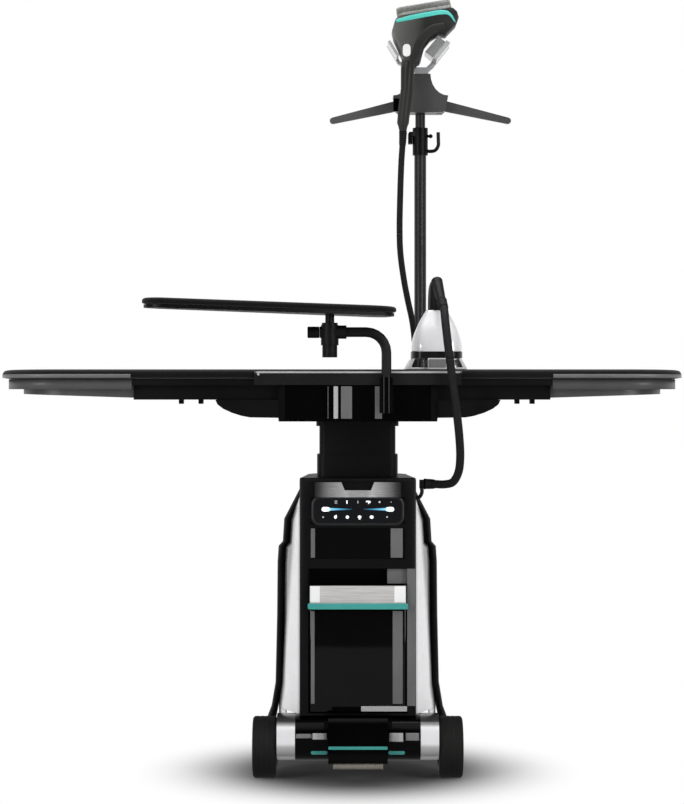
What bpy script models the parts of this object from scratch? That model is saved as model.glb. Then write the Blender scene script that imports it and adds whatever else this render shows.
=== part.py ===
"""Ironing system: a steam base on wheels, a height-adjustable ironing board with a swivelling
sleeve board, a steam iron on its rest, and a garment pole with a hand steamer.

Metres, +Z up, -Y towards the user. The column's axis stands a little to the right of the
board's middle. Every place below is measured from that axis on the floor, and the empty named
station sets the axis into the frame, whose origin is the middle of the model's footprint.
"""
import math

import bmesh
import bpy
from mathutils import Matrix, Vector

for old_object in list(bpy.data.objects):
    bpy.data.objects.remove(old_object, do_unlink=True)

# Clearances
SEAT_GAP = 0.0003
RUN_GAP = 0.0008
OVERRUN = 0.004

# Driving sizes of the whole station
BOARD_LENGTH = 1.300
BOARD_DEPTH = 0.400
BOARD_CORNER = 0.105
BOARD_UNDERSIDE = 0.7243
COLUMN_OFFSET = 0.030
LIFT_TRAVEL = 0.200
BASE_TOP = 0.5745
BASE_HALF_WIDTH = 0.157
BASE_FRONT = 0.150
BASE_BACK = 0.150
FRONT_HALF_WIDTH = 0.1105
POLE_X = 0.1316
POLE_Y = 0.243

# Shape counts
ROUND_SIDES = 24
SMALL_SIDES = 16
CORNER_STEPS = 4

# Collections and the station's own frame
parts_collection = bpy.data.collections.new("ironing_system")
cutters_collection = bpy.data.collections.new("cutters")
bpy.context.scene.collection.children.link(parts_collection)
bpy.context.scene.collection.children.link(cutters_collection)
station = bpy.data.objects.new("station", None)
parts_collection.objects.link(station)


def finish_material(name, red, green, blue, roughness, metallic=0.0):
    """One Principled material with the piece's colour."""
    made = bpy.data.materials.new(name)
    made.use_nodes = True
    shader = made.node_tree.nodes["Principled BSDF"]
    shader.inputs["Base Color"].default_value = (red, green, blue, 1.0)
    shader.inputs["Roughness"].default_value = roughness
    shader.inputs["Metallic"].default_value = metallic
    return made


FINISHES = {
    "gloss_black": (0.010, 0.010, 0.011, 0.15, 0.0),
    "satin_black": (0.013, 0.013, 0.014, 0.45, 0.0),
    "dark_grey": (0.075, 0.075, 0.078, 0.45, 0.0),
    "rubber": (0.012, 0.012, 0.012, 0.80, 0.0),
    "silver": (0.60, 0.60, 0.61, 0.25, 1.0),
    "steel": (0.45, 0.45, 0.46, 0.30, 1.0),
    "white": (0.80, 0.80, 0.80, 0.35, 0.0),
    "fabric": (0.015, 0.015, 0.016, 0.90, 0.0),
    "glass": (0.004, 0.004, 0.006, 0.05, 0.0),
    "brass": (0.55, 0.38, 0.14, 0.35, 1.0),
    "board_green": (0.02, 0.12, 0.05, 0.50, 0.0),
    "bristle": (0.35, 0.36, 0.37, 0.60, 0.0),
}


def new_part(name, data, finish, collection=None):
    """Wraps mesh or curve data in an object that stands in the station's frame."""
    made = bpy.data.objects.new(name, data)
    (collection or parts_collection).objects.link(made)
    made.parent = station
    if finish:
        made.data.materials.append(finish_material(name + "_finish", *FINISHES[finish]))
    return made


def moved_mesh(shape, matrix):
    """Puts a matrix into a mesh and turns the faces out again if it mirrors."""
    shape.data.transform(matrix)
    if matrix.determinant() < 0:
        shape.data.flip_normals()
    shape.data.update()
    return shape


def set_origin(part, point):
    """Moves a part's origin to a point of the station, such as its joint's axis."""
    part.data.transform(Matrix.Translation(-Vector(point)))
    part.location = Vector(point)
    return part


def as_mesh(curve_part):
    """Turns a curve into a mesh with welded caps, in the same place."""
    bpy.context.view_layer.update()
    graph = bpy.context.evaluated_depsgraph_get()
    mesh = bpy.data.meshes.new_from_object(curve_part.evaluated_get(graph))
    work = bmesh.new()
    work.from_mesh(mesh)
    bmesh.ops.remove_doubles(work, verts=work.verts, dist=SEAT_GAP / 30)
    bmesh.ops.recalc_face_normals(work, faces=work.faces)
    work.to_mesh(mesh)
    work.free()
    name = curve_part.name
    collection = curve_part.users_collection[0]
    bpy.data.objects.remove(curve_part, do_unlink=True)
    made = bpy.data.objects.new(name, mesh)
    collection.objects.link(made)
    made.parent = station
    return made


def cutter(part):
    """Hides a shape that only cuts or joins another."""
    for holder in list(part.users_collection):
        holder.objects.unlink(part)
    cutters_collection.objects.link(part)
    part.hide_render = True
    part.display_type = "WIRE"
    return part


def combine(part, tool, operation):
    """Adds a Boolean of a hidden shape to a part."""
    cutter(tool)
    step = part.modifiers.new(tool.name, "BOOLEAN")
    step.operation = operation
    step.object = tool
    step.solver = "EXACT"
    return part


def cut(part, *tools):
    for tool in tools:
        combine(part, tool, "DIFFERENCE")
    return part


def weld(part, *tools):
    for tool in tools:
        combine(part, tool, "UNION")
    return part


def round_edges(part, width, segments=2, angle=40):
    """Bevels the sharp edges of a part."""
    step = part.modifiers.new("edges", "BEVEL")
    step.width = width
    step.segments = segments
    step.limit_method = "ANGLE"
    step.angle_limit = math.radians(angle)
    return part


def block(name, low, high, finish=None):
    """A box between two corners."""
    work = bmesh.new()
    bmesh.ops.create_cube(work, size=1.0)
    size = Vector(high) - Vector(low)
    middle = (Vector(high) + Vector(low)) / 2
    work.transform(Matrix.Translation(middle) @ Matrix.Diagonal(size).to_4x4())
    mesh = bpy.data.meshes.new(name)
    work.to_mesh(mesh)
    work.free()
    return new_part(name, mesh, finish)


def rod(name, start, end, radius, finish=None, sides=ROUND_SIDES, end_radius=None):
    """A cylinder or cone between two points."""
    start, end = Vector(start), Vector(end)
    run = end - start
    work = bmesh.new()
    bmesh.ops.create_cone(work, cap_ends=True, segments=sides, radius1=radius,
                          radius2=radius if end_radius is None else end_radius,
                          depth=run.length)
    turn = Vector((0, 0, 1)).rotation_difference(run.normalized()).to_matrix().to_4x4()
    work.transform(Matrix.Translation((start + end) / 2) @ turn)
    mesh = bpy.data.meshes.new(name)
    work.to_mesh(mesh)
    work.free()
    mesh.shade_smooth()
    mesh.set_sharp_from_angle(angle=math.radians(40))
    return new_part(name, mesh, finish)


def ball(name, centre, radius, sides=12):
    """A small sphere."""
    work = bmesh.new()
    bmesh.ops.create_uvsphere(work, u_segments=sides, v_segments=sides // 2, radius=radius)
    work.transform(Matrix.Translation(Vector(centre)))
    mesh = bpy.data.meshes.new(name)
    work.to_mesh(mesh)
    work.free()
    return new_part(name, mesh, None)


AXIS_FRAMES = {
    "X": Matrix(((0, 0, 1, 0), (1, 0, 0, 0), (0, 1, 0, 0), (0, 0, 0, 1))),
    "Y": Matrix(((1, 0, 0, 0), (0, 0, -1, 0), (0, 1, 0, 0), (0, 0, 0, 1))),
    "Z": Matrix.Identity(4),
}


def prism(name, outlines, axis, low, high, finish=None):
    """A flat outline extruded along X, Y or Z. Its points are (Y, Z), (X, Z) or (X, Y).
    A second outline inside the first is a hole."""
    curve = bpy.data.curves.new(name, "CURVE")
    curve.dimensions = "2D"
    curve.fill_mode = "BOTH"
    curve.extrude = (high - low) / 2
    for outline in outlines:
        spline = curve.splines.new("POLY")
        spline.points.add(len(outline) - 1)
        for point, (u, v) in zip(spline.points, outline):
            point.co = (u, v, 0, 1)
        spline.use_cyclic_u = True
    made = as_mesh(new_part(name, curve, None))
    middle = {"X": Vector((1, 0, 0)), "Y": Vector((0, 1, 0)), "Z": Vector((0, 0, 1))}[axis]
    moved_mesh(made, Matrix.Translation(middle * (low + high) / 2) @ AXIS_FRAMES[axis])
    if finish:
        made.data.materials.append(finish_material(name + "_finish", *FINISHES[finish]))
    return made

MERGE_REACH = 0.00005


def turned(name, profile, centre, axis, finish=None, sides=ROUND_SIDES, closed=False):
    """A profile of (radius, height) turned about an axis with a Screw modifier. An open
    profile runs from top to bottom down its outer side, with both ends on the axis."""
    mesh = bpy.data.meshes.new(name)
    points = [(radius, 0, height) for radius, height in profile]
    edges = [(index, index + 1) for index in range(len(points) - 1)]
    if closed:
        edges.append((len(points) - 1, 0))
    mesh.from_pydata(points, edges, [])
    made = new_part(name, mesh, finish)
    step = made.modifiers.new("turn", "SCREW")
    step.axis = "Z"
    step.steps = sides
    step.render_steps = sides
    step.use_merge_vertices = True
    step.merge_threshold = MERGE_REACH
    made.location = Vector(centre)
    turn = {"X": (0, math.pi / 2, 0), "-X": (0, -math.pi / 2, 0), "Y": (-math.pi / 2, 0, 0),
            "-Y": (math.pi / 2, 0, 0), "Z": (0, 0, 0)}
    made.rotation_euler = turn[axis]
    return made


def smooth_route(places, count):
    """Points spaced evenly along a Catmull-Rom curve through the places of a cord or tube."""
    pts = [Vector(place) for place in places]
    pts = [2 * pts[0] - pts[1]] + pts + [2 * pts[-1] - pts[-2]]
    fine = []
    for a, b, c, d in zip(pts, pts[1:], pts[2:], pts[3:]):
        for part in range(16):
            t = part / 16
            fine.append(0.5 * ((2 * b) + (c - a) * t + (2 * a - 5 * b + 4 * c - d) * t * t
                               + (3 * b - a - 3 * c + d) * t * t * t))
    fine.append(pts[-2])
    reach = [0.0]
    for a, b in zip(fine, fine[1:]):
        reach.append(reach[-1] + (b - a).length)
    route = []
    cursor = 0
    for index in range(count):
        want = reach[-1] * index / (count - 1)
        while cursor < len(reach) - 2 and reach[cursor + 1] < want:
            cursor += 1
        span = reach[cursor + 1] - reach[cursor]
        share = 0.0 if span == 0 else (want - reach[cursor]) / span
        route.append(fine[cursor].lerp(fine[cursor + 1], min(1.0, share)))
    return route, reach[-1]


def hose_route(places, count):
    """A smooth route between two straight ends: the first and last pairs of places."""
    route, length = smooth_route(places[1:-1], count)
    ends = [Vector(places[index]) for index in (0, 1, -2, -1)]
    length += (ends[1] - ends[0]).length + (ends[3] - ends[2]).length
    return [places[0]] + list(route) + [places[-1]], length


def bent_tube(name, route, radius, finish=None, resolution=2, radii=None):
    """A round bar or hose along a route, with flat ends."""
    curve = bpy.data.curves.new(name, "CURVE")
    curve.dimensions = "3D"
    curve.bevel_depth = radius
    curve.bevel_resolution = resolution
    curve.use_fill_caps = True
    spline = curve.splines.new("POLY")
    spline.points.add(len(route) - 1)
    for index, place in enumerate(route):
        spline.points[index].co = (*place, 1)
        spline.points[index].radius = 1.0 if radii is None else radii[index]
    made = new_part(name, curve, finish)
    return made


def rounded_rectangle(half_u, half_v, radius, centre=(0, 0), steps=CORNER_STEPS):
    """The outline of a rectangle with round corners, anticlockwise."""
    outline = []
    for side_u, side_v, start in ((1, 1, 0), (-1, 1, 90), (-1, -1, 180), (1, -1, 270)):
        for step in range(steps + 1):
            angle = math.radians(start + 90 * step / steps)
            outline.append((centre[0] + side_u * (half_u - radius) + radius * math.cos(angle),
                            centre[1] + side_v * (half_v - radius) + radius * math.sin(angle)))
    return outline


def loft(name, rings, finish=None, cap=True, closed=True):
    """A skin through rings of points, each ring with as many points as the others."""
    mesh = bpy.data.meshes.new(name)
    count = len(rings[0])
    points = [tuple(place) for ring in rings for place in ring]
    faces = []
    for level in range(len(rings) - 1):
        for index in range(count if closed else count - 1):
            after = (index + 1) % count
            faces.append((level * count + index, level * count + after,
                          (level + 1) * count + after, (level + 1) * count + index))
    if cap:
        faces.append(tuple(reversed(range(count))))
        faces.append(tuple((len(rings) - 1) * count + index for index in range(count)))
    mesh.from_pydata(points, [], faces)
    work = bmesh.new()
    work.from_mesh(mesh)
    bmesh.ops.recalc_face_normals(work, faces=work.faces)
    work.to_mesh(mesh)
    work.free()
    return new_part(name, mesh, finish)


def thicken(part, thickness, offset=-1.0):
    """Gives an open surface its wall."""
    step = part.modifiers.new("wall", "SOLIDIFY")
    step.thickness = thickness
    step.offset = offset
    return part


def twin(part, name, middle_x=0.0):
    """The same piece, with its cutters, on the other side of the plane X = middle_x."""
    other = part.copy()
    other.name = name
    other.data = part.data.copy()
    other.data.name = name
    other.data.transform(Matrix.Translation((2 * middle_x, 0, 0)) @ Matrix.Diagonal((-1, 1, 1, 1)))
    other.data.flip_normals()
    part.users_collection[0].objects.link(other)
    if part.data.materials:
        finish = part.data.materials[0].copy()
        finish.name = name + "_finish"
        other.data.materials[0] = finish
    for step in other.modifiers:
        if step.type == "BOOLEAN":
            step.object = twin(step.object, step.object.name + "_twin", middle_x)
    return other


def between(table, value):
    """Straight-line value of a table of (place, value) rows that runs downwards."""
    for (high, at_high), (low, at_low) in zip(table, table[1:]):
        if value >= low:
            return at_low + (at_high - at_low) * (value - low) / (high - low)
    return table[-1][1]

# Wheels: rubber tyres on plastic hubs, turning on one steel axle
DISH_share = 0.8
WHEEL_RADIUS = 0.0589
WHEEL_WIDTH = 0.0463
WHEEL_INNER = 0.1542
TYRE_THICKNESS = 0.012
TYRE_SHOULDER = 0.005
AXLE_RADIUS = 0.006
AXLE_Y = -0.100
HUB_FACE = 0.005
HUB_DISH = 0.006
WHEEL_SIDES = 32

rim_radius = WHEEL_RADIUS - TYRE_THICKNESS
axle_middle = Vector((0, AXLE_Y, WHEEL_RADIUS))
for side, side_name in ((-1, "left"), (1, "right")):
    wheel_centre = axle_middle + Vector((side * (WHEEL_INNER + WHEEL_WIDTH / 2), 0, 0))
    half = WHEEL_WIDTH / 2
    turned("tyre_" + side_name,
           [(rim_radius, half), (WHEEL_RADIUS - TYRE_SHOULDER, half),
            (WHEEL_RADIUS, half - TYRE_SHOULDER), (WHEEL_RADIUS, TYRE_SHOULDER - half),
            (WHEEL_RADIUS - TYRE_SHOULDER, -half), (rim_radius, -half)],
           wheel_centre, "X", "rubber", WHEEL_SIDES, closed=True)
    hub_radius = rim_radius - SEAT_GAP
    dish_radius = hub_radius * DISH_share
    turned("wheel_hub_" + side_name,
           [(0, half - HUB_DISH), (dish_radius, half - HUB_DISH), (dish_radius, half),
            (hub_radius, half), (hub_radius, -half), (dish_radius, -half),
            (dish_radius, HUB_FACE - half), (AXLE_RADIUS * 2, HUB_FACE - half),
            (AXLE_RADIUS * 2, -half), (AXLE_RADIUS + SEAT_GAP, -half),
            (AXLE_RADIUS + SEAT_GAP, half - HUB_DISH - HUB_FACE),
            (0, half - HUB_DISH - HUB_FACE)],
           wheel_centre, "X" if side > 0 else "-X", "satin_black", ROUND_SIDES)

axle_reach = WHEEL_INNER + WHEEL_WIDTH - HUB_DISH - HUB_FACE - RUN_GAP
rod("axle", axle_middle - Vector((axle_reach, 0, 0)), axle_middle + Vector((axle_reach, 0, 0)),
    AXLE_RADIUS, "steel")

# Axle housing: a rounded barrel between two silver sleeves
HOUSING_TOP = 0.124
HOUSING_BOTTOM = 0.038
HOUSING_FRONT = 0.165
HOUSING_REAR = 0.058
HOUSING_ROUND = 0.036
HOUSING_HALF_WIDTH = 0.1185
SLEEVE_MARGIN = 0.0008
WHEEL_RUN_GAP = 0.0006


def housing_outline(margin):
    middle = (-(HOUSING_FRONT + HOUSING_REAR) / 2, (HOUSING_TOP + HOUSING_BOTTOM) / 2)
    return rounded_rectangle((HOUSING_FRONT - HOUSING_REAR) / 2 + margin,
                             (HOUSING_TOP - HOUSING_BOTTOM) / 2 + margin,
                             HOUSING_ROUND + margin, middle, steps=6)


def axle_cutter(name):
    reach = WHEEL_INNER + WHEEL_WIDTH
    return rod(name, axle_middle - Vector((reach, 0, 0)), axle_middle + Vector((reach, 0, 0)),
               AXLE_RADIUS + SEAT_GAP)


axle_housing = prism("axle_housing", [housing_outline(0)], "X",
                     -HOUSING_HALF_WIDTH, HOUSING_HALF_WIDTH, "gloss_black")
sleeve_low = HOUSING_HALF_WIDTH + SEAT_GAP
sleeve_high = WHEEL_INNER - WHEEL_RUN_GAP
sleeve = prism("hub_sleeve_right", [housing_outline(-SLEEVE_MARGIN)], "X",
               sleeve_low, sleeve_high, "silver")

# Foot pedal: a plate in front of the barrel on a steel pin between two ears
PEDAL_HALF_WIDTH = 0.056
PEDAL_TOP = 0.125
PEDAL_BOTTOM = 0.0405
PEDAL_FRONT = 0.190
PEDAL_PLATE = 0.0115
PEDAL_ROUND = 0.008
TREAD_HALF_WIDTH = 0.048
TREAD_FRONT = 0.203
TREAD_THICKNESS = 0.0085
PIN_RADIUS = 0.003
PIN_Y = -0.1735
PIN_Z = 0.112
PEDAL_EAR = 0.006
HOUSING_EAR = 0.007
HOUSING_EAR_HALF = 0.008

pedal_back = -(PEDAL_FRONT - PEDAL_PLATE)
pedal_outline = [(pedal_back, PEDAL_BOTTOM), (pedal_back, PEDAL_TOP),
                 (pedal_back - PEDAL_PLATE / 2, PEDAL_TOP),
                 (-PEDAL_FRONT, PEDAL_TOP - PEDAL_ROUND), (-PEDAL_FRONT, PEDAL_BOTTOM)]
foot_pedal = prism("foot_pedal", [list(reversed(pedal_outline))], "X",
                   -PEDAL_HALF_WIDTH, PEDAL_HALF_WIDTH, "gloss_black")
tread_outline = rounded_rectangle((TREAD_FRONT + pedal_back) / 2, TREAD_THICKNESS / 2,
                                  TREAD_THICKNESS / 3,
                                  (-(TREAD_FRONT - pedal_back) / 2,
                                   PEDAL_BOTTOM - TREAD_THICKNESS / 2 + SEAT_GAP), steps=2)
weld(foot_pedal, prism("pedal_tread_join", [tread_outline], "X",
                       -TREAD_HALF_WIDTH, TREAD_HALF_WIDTH))


EAR_share = 2.4
HOUSING_EAR_REACH_share = 0.83


def ear_outline(front, back):
    """A rounded lug round the pedal pin, in (Y, Z)."""
    radius = PIN_RADIUS * EAR_share
    outline = [(front, PIN_Z - radius), (PIN_Y, PIN_Z - radius)]
    outline += [(PIN_Y + radius * math.cos(math.radians(angle)),
                 PIN_Z + radius * math.sin(math.radians(angle))) for angle in (-60, -30, 0, 30, 60)]
    outline += [(PIN_Y, PIN_Z + radius), (front, PIN_Z + radius)]
    return outline if front < back else list(reversed(outline))


pedal_ear_low = PEDAL_HALF_WIDTH - PEDAL_EAR
for side, side_name in ((-1, "left"), (1, "right")):
    low, high = sorted((side * pedal_ear_low, side * PEDAL_HALF_WIDTH))
    weld(foot_pedal, prism("pedal_ear_" + side_name,
                           [ear_outline(pedal_back - SEAT_GAP, PIN_Y)], "X", low, high))
pin_reach = PEDAL_HALF_WIDTH + RUN_GAP + HOUSING_EAR
weld(foot_pedal, rod("pedal_pin_join", (-pin_reach, PIN_Y, PIN_Z), (pin_reach, PIN_Y, PIN_Z),
                     PIN_RADIUS, sides=SMALL_SIDES))
set_origin(foot_pedal, (0, PIN_Y, PIN_Z))
for side, side_name in ((-1, "left"), (1, "right")):
    low, high = sorted((side * (PEDAL_HALF_WIDTH + RUN_GAP), side * pin_reach))
    weld(axle_housing, block("housing_ear_" + side_name,
                             (low, PIN_Y - PIN_RADIUS * 2, PIN_Z - HOUSING_EAR_HALF),
                             (high, -HOUSING_FRONT * HOUSING_EAR_REACH_share,
                              PIN_Z + HOUSING_EAR_HALF)))
cut(axle_housing, rod("housing_pin_hole", (-pin_reach - OVERRUN, PIN_Y, PIN_Z),
                      (pin_reach + OVERRUN, PIN_Y, PIN_Z), PIN_RADIUS + SEAT_GAP,
                      sides=SMALL_SIDES))
cut(axle_housing, axle_cutter("housing_axle_hole"))
cut(sleeve, axle_cutter("sleeve_axle_hole"))
twin(sleeve, "hub_sleeve_left")

# Side rails: black edge strips that run down into the rear legs, each on a broad foot
RAIL_WIDTH = 0.014
RAIL_DEPTH = 0.030
FOOT_HEIGHT = 0.014
FOOT_SPREAD = 0.184
FOOT_Y = 0.112
FOOT_ROUND = 0.003
# height over the base's top height, reach over the base's half width
rail_reach_shares = [(0.974, 0.690), (0.947, 0.735), (0.851, 0.917), (0.773, 0.934),
                     (0.757, 0.987), (0.705, 1.000), (0.522, 1.006), (0.292, 1.025),
                     (0.209, 1.076), (0.174, 1.124), (0.104, 1.166), (0.0250, 1.172)]
rail_reach = [(height * BASE_TOP, reach * BASE_HALF_WIDTH)
              for height, reach in rail_reach_shares]
RAIL_Y = 0.035
LEG_START_share = 0.174
LEG_WIDTH_share = 1.25
LEG_DEPTH_share = 1.1
leg_lean_shares = [(1.0, 0.0), (LEG_START_share, 0.0), (0.104, 0.62), (0.0, 1.0)]
leg_lean = [(height * BASE_TOP, RAIL_Y + (FOOT_Y - RAIL_Y) * share)
            for height, share in leg_lean_shares]
rings = []
for height, reach in rail_reach:
    is_leg = height <= LEG_START_share * BASE_TOP
    width = RAIL_WIDTH * (LEG_WIDTH_share if is_leg else 1)
    depth = RAIL_DEPTH * (LEG_DEPTH_share if is_leg else 1)
    level = max(height, FOOT_HEIGHT + SEAT_GAP)
    rings.append([(u, v, level) for u, v in
                  rounded_rectangle(width / 2, depth / 2, width / 3,
                                    (reach - width / 2, between(leg_lean, height)), steps=2)])
side_rail = loft("side_rail_right", rings, "satin_black")

FOOT_WIDTH_share = 0.9
FOOT_DEPTH_share = 0.65
foot_half_width = RAIL_WIDTH * FOOT_WIDTH_share
foot_half_depth = RAIL_DEPTH * FOOT_DEPTH_share
foot_x = rail_reach[-1][1] - RAIL_WIDTH * LEG_WIDTH_share / 2
weld(side_rail, prism("rail_foot_join",
                      [rounded_rectangle(foot_half_width, foot_half_depth, RAIL_WIDTH / 2,
                                         (foot_x, between(leg_lean, rail_reach[-1][0])))],
                      "Z", 0.0, FOOT_HEIGHT + OVERRUN))
twin(side_rail, "side_rail_left")

# Base tray: the floor that everything in the base stands on, with the tank's bay on it
TRAY_THICKNESS = 0.006
TRAY_MARGIN = 0.0085
SHELL_WALL = 0.003
SHELL_START = RAIL_Y + RAIL_DEPTH / 2 + SEAT_GAP
SHELL_INSET = 0.006
SHELL_BOTTOM = 0.1215
tray_low = HOUSING_TOP + SEAT_GAP
tray_high = tray_low + TRAY_THICKNESS
SHELL_SQUARENESS = 3.0
SHELL_STEPS = 16


def shell_half_width(height):
    return between(rail_reach, height) - SHELL_INSET


def shell_outline(height, inset=0.0):
    """The rear shell's back line at a height, a squarish half ellipse from left to right."""
    across = shell_half_width(height) - inset
    deep = BASE_BACK - SHELL_START - inset
    line = []
    for step in range(SHELL_STEPS + 1):
        angle = math.pi * step / SHELL_STEPS
        cosine, sine = math.cos(angle), math.sin(angle)
        bend = 2 / SHELL_SQUARENESS
        line.append((-math.copysign(abs(cosine) ** bend, cosine) * across,
                     SHELL_START + abs(sine) ** bend * deep))
    return line


DECK_THICKNESS = 0.008
deck_low = BASE_TOP - DECK_THICKNESS
shell_levels = [SHELL_BOTTOM] + [height for height, reach in reversed(rail_reach)
                                 if SHELL_BOTTOM < height < deck_low] + [deck_low - SEAT_GAP]
rear_shell = loft("rear_shell", [[(x, y, height) for x, y in shell_outline(height)]
                                 for height in shell_levels], "gloss_black",
                  cap=False, closed=False)
thicken(rear_shell, SHELL_WALL)

# Front frame: the black fascia with its tank bay mouth, display and panel seats
FRAME_DEPTH = 0.030
FRAME_WALL = 0.010
FRAME_TOP = 0.5759
FRAME_ROUND = 0.004
MOUTH_HALF_WIDTH = 0.0938
MOUTH_TOP = 0.4045
MOUTH_SILL = 0.0057
frame_low = HOUSING_TOP + SEAT_GAP
frame_back = -(BASE_FRONT - FRAME_DEPTH)
front_frame = block("front_frame", (-FRONT_HALF_WIDTH, -BASE_FRONT, frame_low),
                    (FRONT_HALF_WIDTH, frame_back, FRAME_TOP), "gloss_black")
round_edges(front_frame, FRAME_ROUND)
mouth_low = frame_low + MOUTH_SILL
cut(front_frame, block("frame_mouth", (-MOUTH_HALF_WIDTH, -BASE_FRONT - OVERRUN, mouth_low),
                       (MOUTH_HALF_WIDTH, frame_back + OVERRUN, MOUTH_TOP)))
POCKET_WALL_share = 0.65
pocket_half_width = FRONT_HALF_WIDTH - FRAME_WALL * POCKET_WALL_share
cut(front_frame, block("frame_hollow", (-pocket_half_width, -BASE_FRONT + FRAME_WALL,
                                        MOUTH_TOP + FRAME_WALL),
                       (pocket_half_width, frame_back + OVERRUN, FRAME_TOP - FRAME_WALL)))

BROW_HALF_WIDTH = 0.0822
BROW_LOW = 0.5395
BROW_HIGH = 0.5680
BROW_PROUD = 0.0045
BROW_SEAT = 0.0035
NOTCH_TOP_HALF = 0.0311
NOTCH_LOW_HALF = 0.0250
NOTCH_DEPTH = 0.0154
DISPLAY_HALF_WIDTH = 0.0892
DISPLAY_LOW = 0.4887
DISPLAY_HIGH = 0.5385
DISPLAY_ROUND = 0.010
PANEL_HALF_WIDTH = 0.0885
PANEL_LOW = 0.4232
PANEL_HIGH = 0.4811
PANEL_PROUD = 0.0015
INSERT_SEAT = 0.0040


def seat_cutter(name, half_width, low, high, depth):
    """The shallow seat of a plate in the fascia, a seat gap larger all round."""
    return block(name, (-half_width - SEAT_GAP, -BASE_FRONT - OVERRUN, low - SEAT_GAP),
                 (half_width + SEAT_GAP, -BASE_FRONT + depth + SEAT_GAP, high + SEAT_GAP))


cut(front_frame, seat_cutter("brow_seat", BROW_HALF_WIDTH, BROW_LOW, BROW_HIGH, BROW_SEAT))
cut(front_frame, seat_cutter("display_seat", DISPLAY_HALF_WIDTH, DISPLAY_LOW, DISPLAY_HIGH,
                             INSERT_SEAT))
cut(front_frame, seat_cutter("panel_seat", PANEL_HALF_WIDTH, PANEL_LOW, PANEL_HIGH, INSERT_SEAT))
prism("brow_trim", [[(-BROW_HALF_WIDTH, BROW_LOW), (BROW_HALF_WIDTH, BROW_LOW),
                     (BROW_HALF_WIDTH, BROW_HIGH), (NOTCH_TOP_HALF, BROW_HIGH),
                     (NOTCH_LOW_HALF, BROW_HIGH - NOTCH_DEPTH),
                     (-NOTCH_LOW_HALF, BROW_HIGH - NOTCH_DEPTH),
                     (-NOTCH_TOP_HALF, BROW_HIGH), (-BROW_HALF_WIDTH, BROW_HIGH)]],
      "Y", -BASE_FRONT - BROW_PROUD, -BASE_FRONT + BROW_SEAT, "silver")
display_glass = prism("display_glass",
                      [rounded_rectangle(DISPLAY_HALF_WIDTH, (DISPLAY_HIGH - DISPLAY_LOW) / 2,
                                         DISPLAY_ROUND, (0, (DISPLAY_HIGH + DISPLAY_LOW) / 2))],
                      "Y", -BASE_FRONT - PANEL_PROUD, -BASE_FRONT + INSERT_SEAT, "glass")
front_panel = block("front_panel", (-PANEL_HALF_WIDTH, -BASE_FRONT - PANEL_PROUD, PANEL_LOW),
                    (PANEL_HALF_WIDTH, -BASE_FRONT + INSERT_SEAT, PANEL_HIGH), "gloss_black")

BOARD_PCB_THICKNESS = 0.0016
PCB_INSET = 0.012
pcb_front = -BASE_FRONT + FRAME_WALL + SEAT_GAP
control_board = block("control_board",
                      (-pocket_half_width + PCB_INSET, pcb_front, MOUTH_TOP + FRAME_WALL + PCB_INSET),
                      (pocket_half_width - PCB_INSET, pcb_front + BOARD_PCB_THICKNESS,
                       FRAME_TOP - FRAME_WALL - PCB_INSET), "board_green")

# Silver side panels: curved skins from the fascia back to the rails
SIDE_WALL = 0.0025
SIDE_BULGE = 0.006
SIDE_STEPS = 4
side_front = frame_back + SEAT_GAP
side_back = RAIL_Y - RAIL_DEPTH / 2 - SEAT_GAP
side_levels = [HOUSING_TOP + SEAT_GAP] + [height for height, reach in reversed(rail_reach)
                                          if HOUSING_TOP < height < deck_low - SEAT_GAP]
rings = []
for height in side_levels:
    back_x = max(between(rail_reach, height) - RAIL_WIDTH, FRONT_HALF_WIDTH - SIDE_WALL / 2)
    row = []
    for step in range(SIDE_STEPS + 1):
        share = step / SIDE_STEPS
        bulge = SIDE_BULGE * 4 * share * (1 - share) * (back_x - FRONT_HALF_WIDTH) / RAIL_DEPTH
        row.append((FRONT_HALF_WIDTH + (back_x - FRONT_HALF_WIDTH) * share + bulge,
                    side_front + (side_back - side_front) * share, height))
    rings.append(row)
side_panel = loft("side_panel_right", rings, "silver", cap=False, closed=False)
if side_panel.data.polygons[0].normal.x < 0:
    side_panel.data.flip_normals()
thicken(side_panel, SIDE_WALL)
twin(side_panel, "side_panel_left")

# Tray outline follows the panels and the shell
tray_side = between(rail_reach, tray_high) - RAIL_WIDTH - TRAY_MARGIN / 2
tray_outline = [(-FRONT_HALF_WIDTH + TRAY_MARGIN, frame_back + SEAT_GAP),
                (FRONT_HALF_WIDTH - TRAY_MARGIN, frame_back + SEAT_GAP),
                (tray_side, side_back), (tray_side, SHELL_START + RUN_GAP)]
tray_outline += [(-x, y) for x, y in shell_outline(tray_high, SHELL_WALL + RUN_GAP)]
tray_outline += [(-tray_side, SHELL_START + RUN_GAP), (-tray_side, side_back)]
base_tray = prism("base_tray", [tray_outline], "Z", tray_low, tray_high, "satin_black")

# Column: a fixed outer tube, a sliding inner tube and a gas spring between them
OUTER_HALF_X = 0.0785
OUTER_HALF_Y = 0.0500
OUTER_WALL = 0.002
OUTER_TOP = 0.617
COLUMN_ROUND = 0.016
GLIDE_HEIGHT = 0.012
GLIDE_GAP = 0.0025
INNER_WALL = 0.003
INNER_BOTTOM = 0.200
FLANGE_MARGIN = 0.006
FLANGE_TOP = 0.683
FLANGE_THICKNESS = 0.0105
column_low = tray_high + SEAT_GAP


def column_ring(outer_inset, wall):
    """Outer and inner outlines of a column tube, inset from the fixed tube's outside."""
    outlines = []
    for inset in (outer_inset, outer_inset + wall):
        outlines.append(rounded_rectangle(OUTER_HALF_X - inset, OUTER_HALF_Y - inset,
                                          COLUMN_ROUND - inset))
    return outlines


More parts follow.
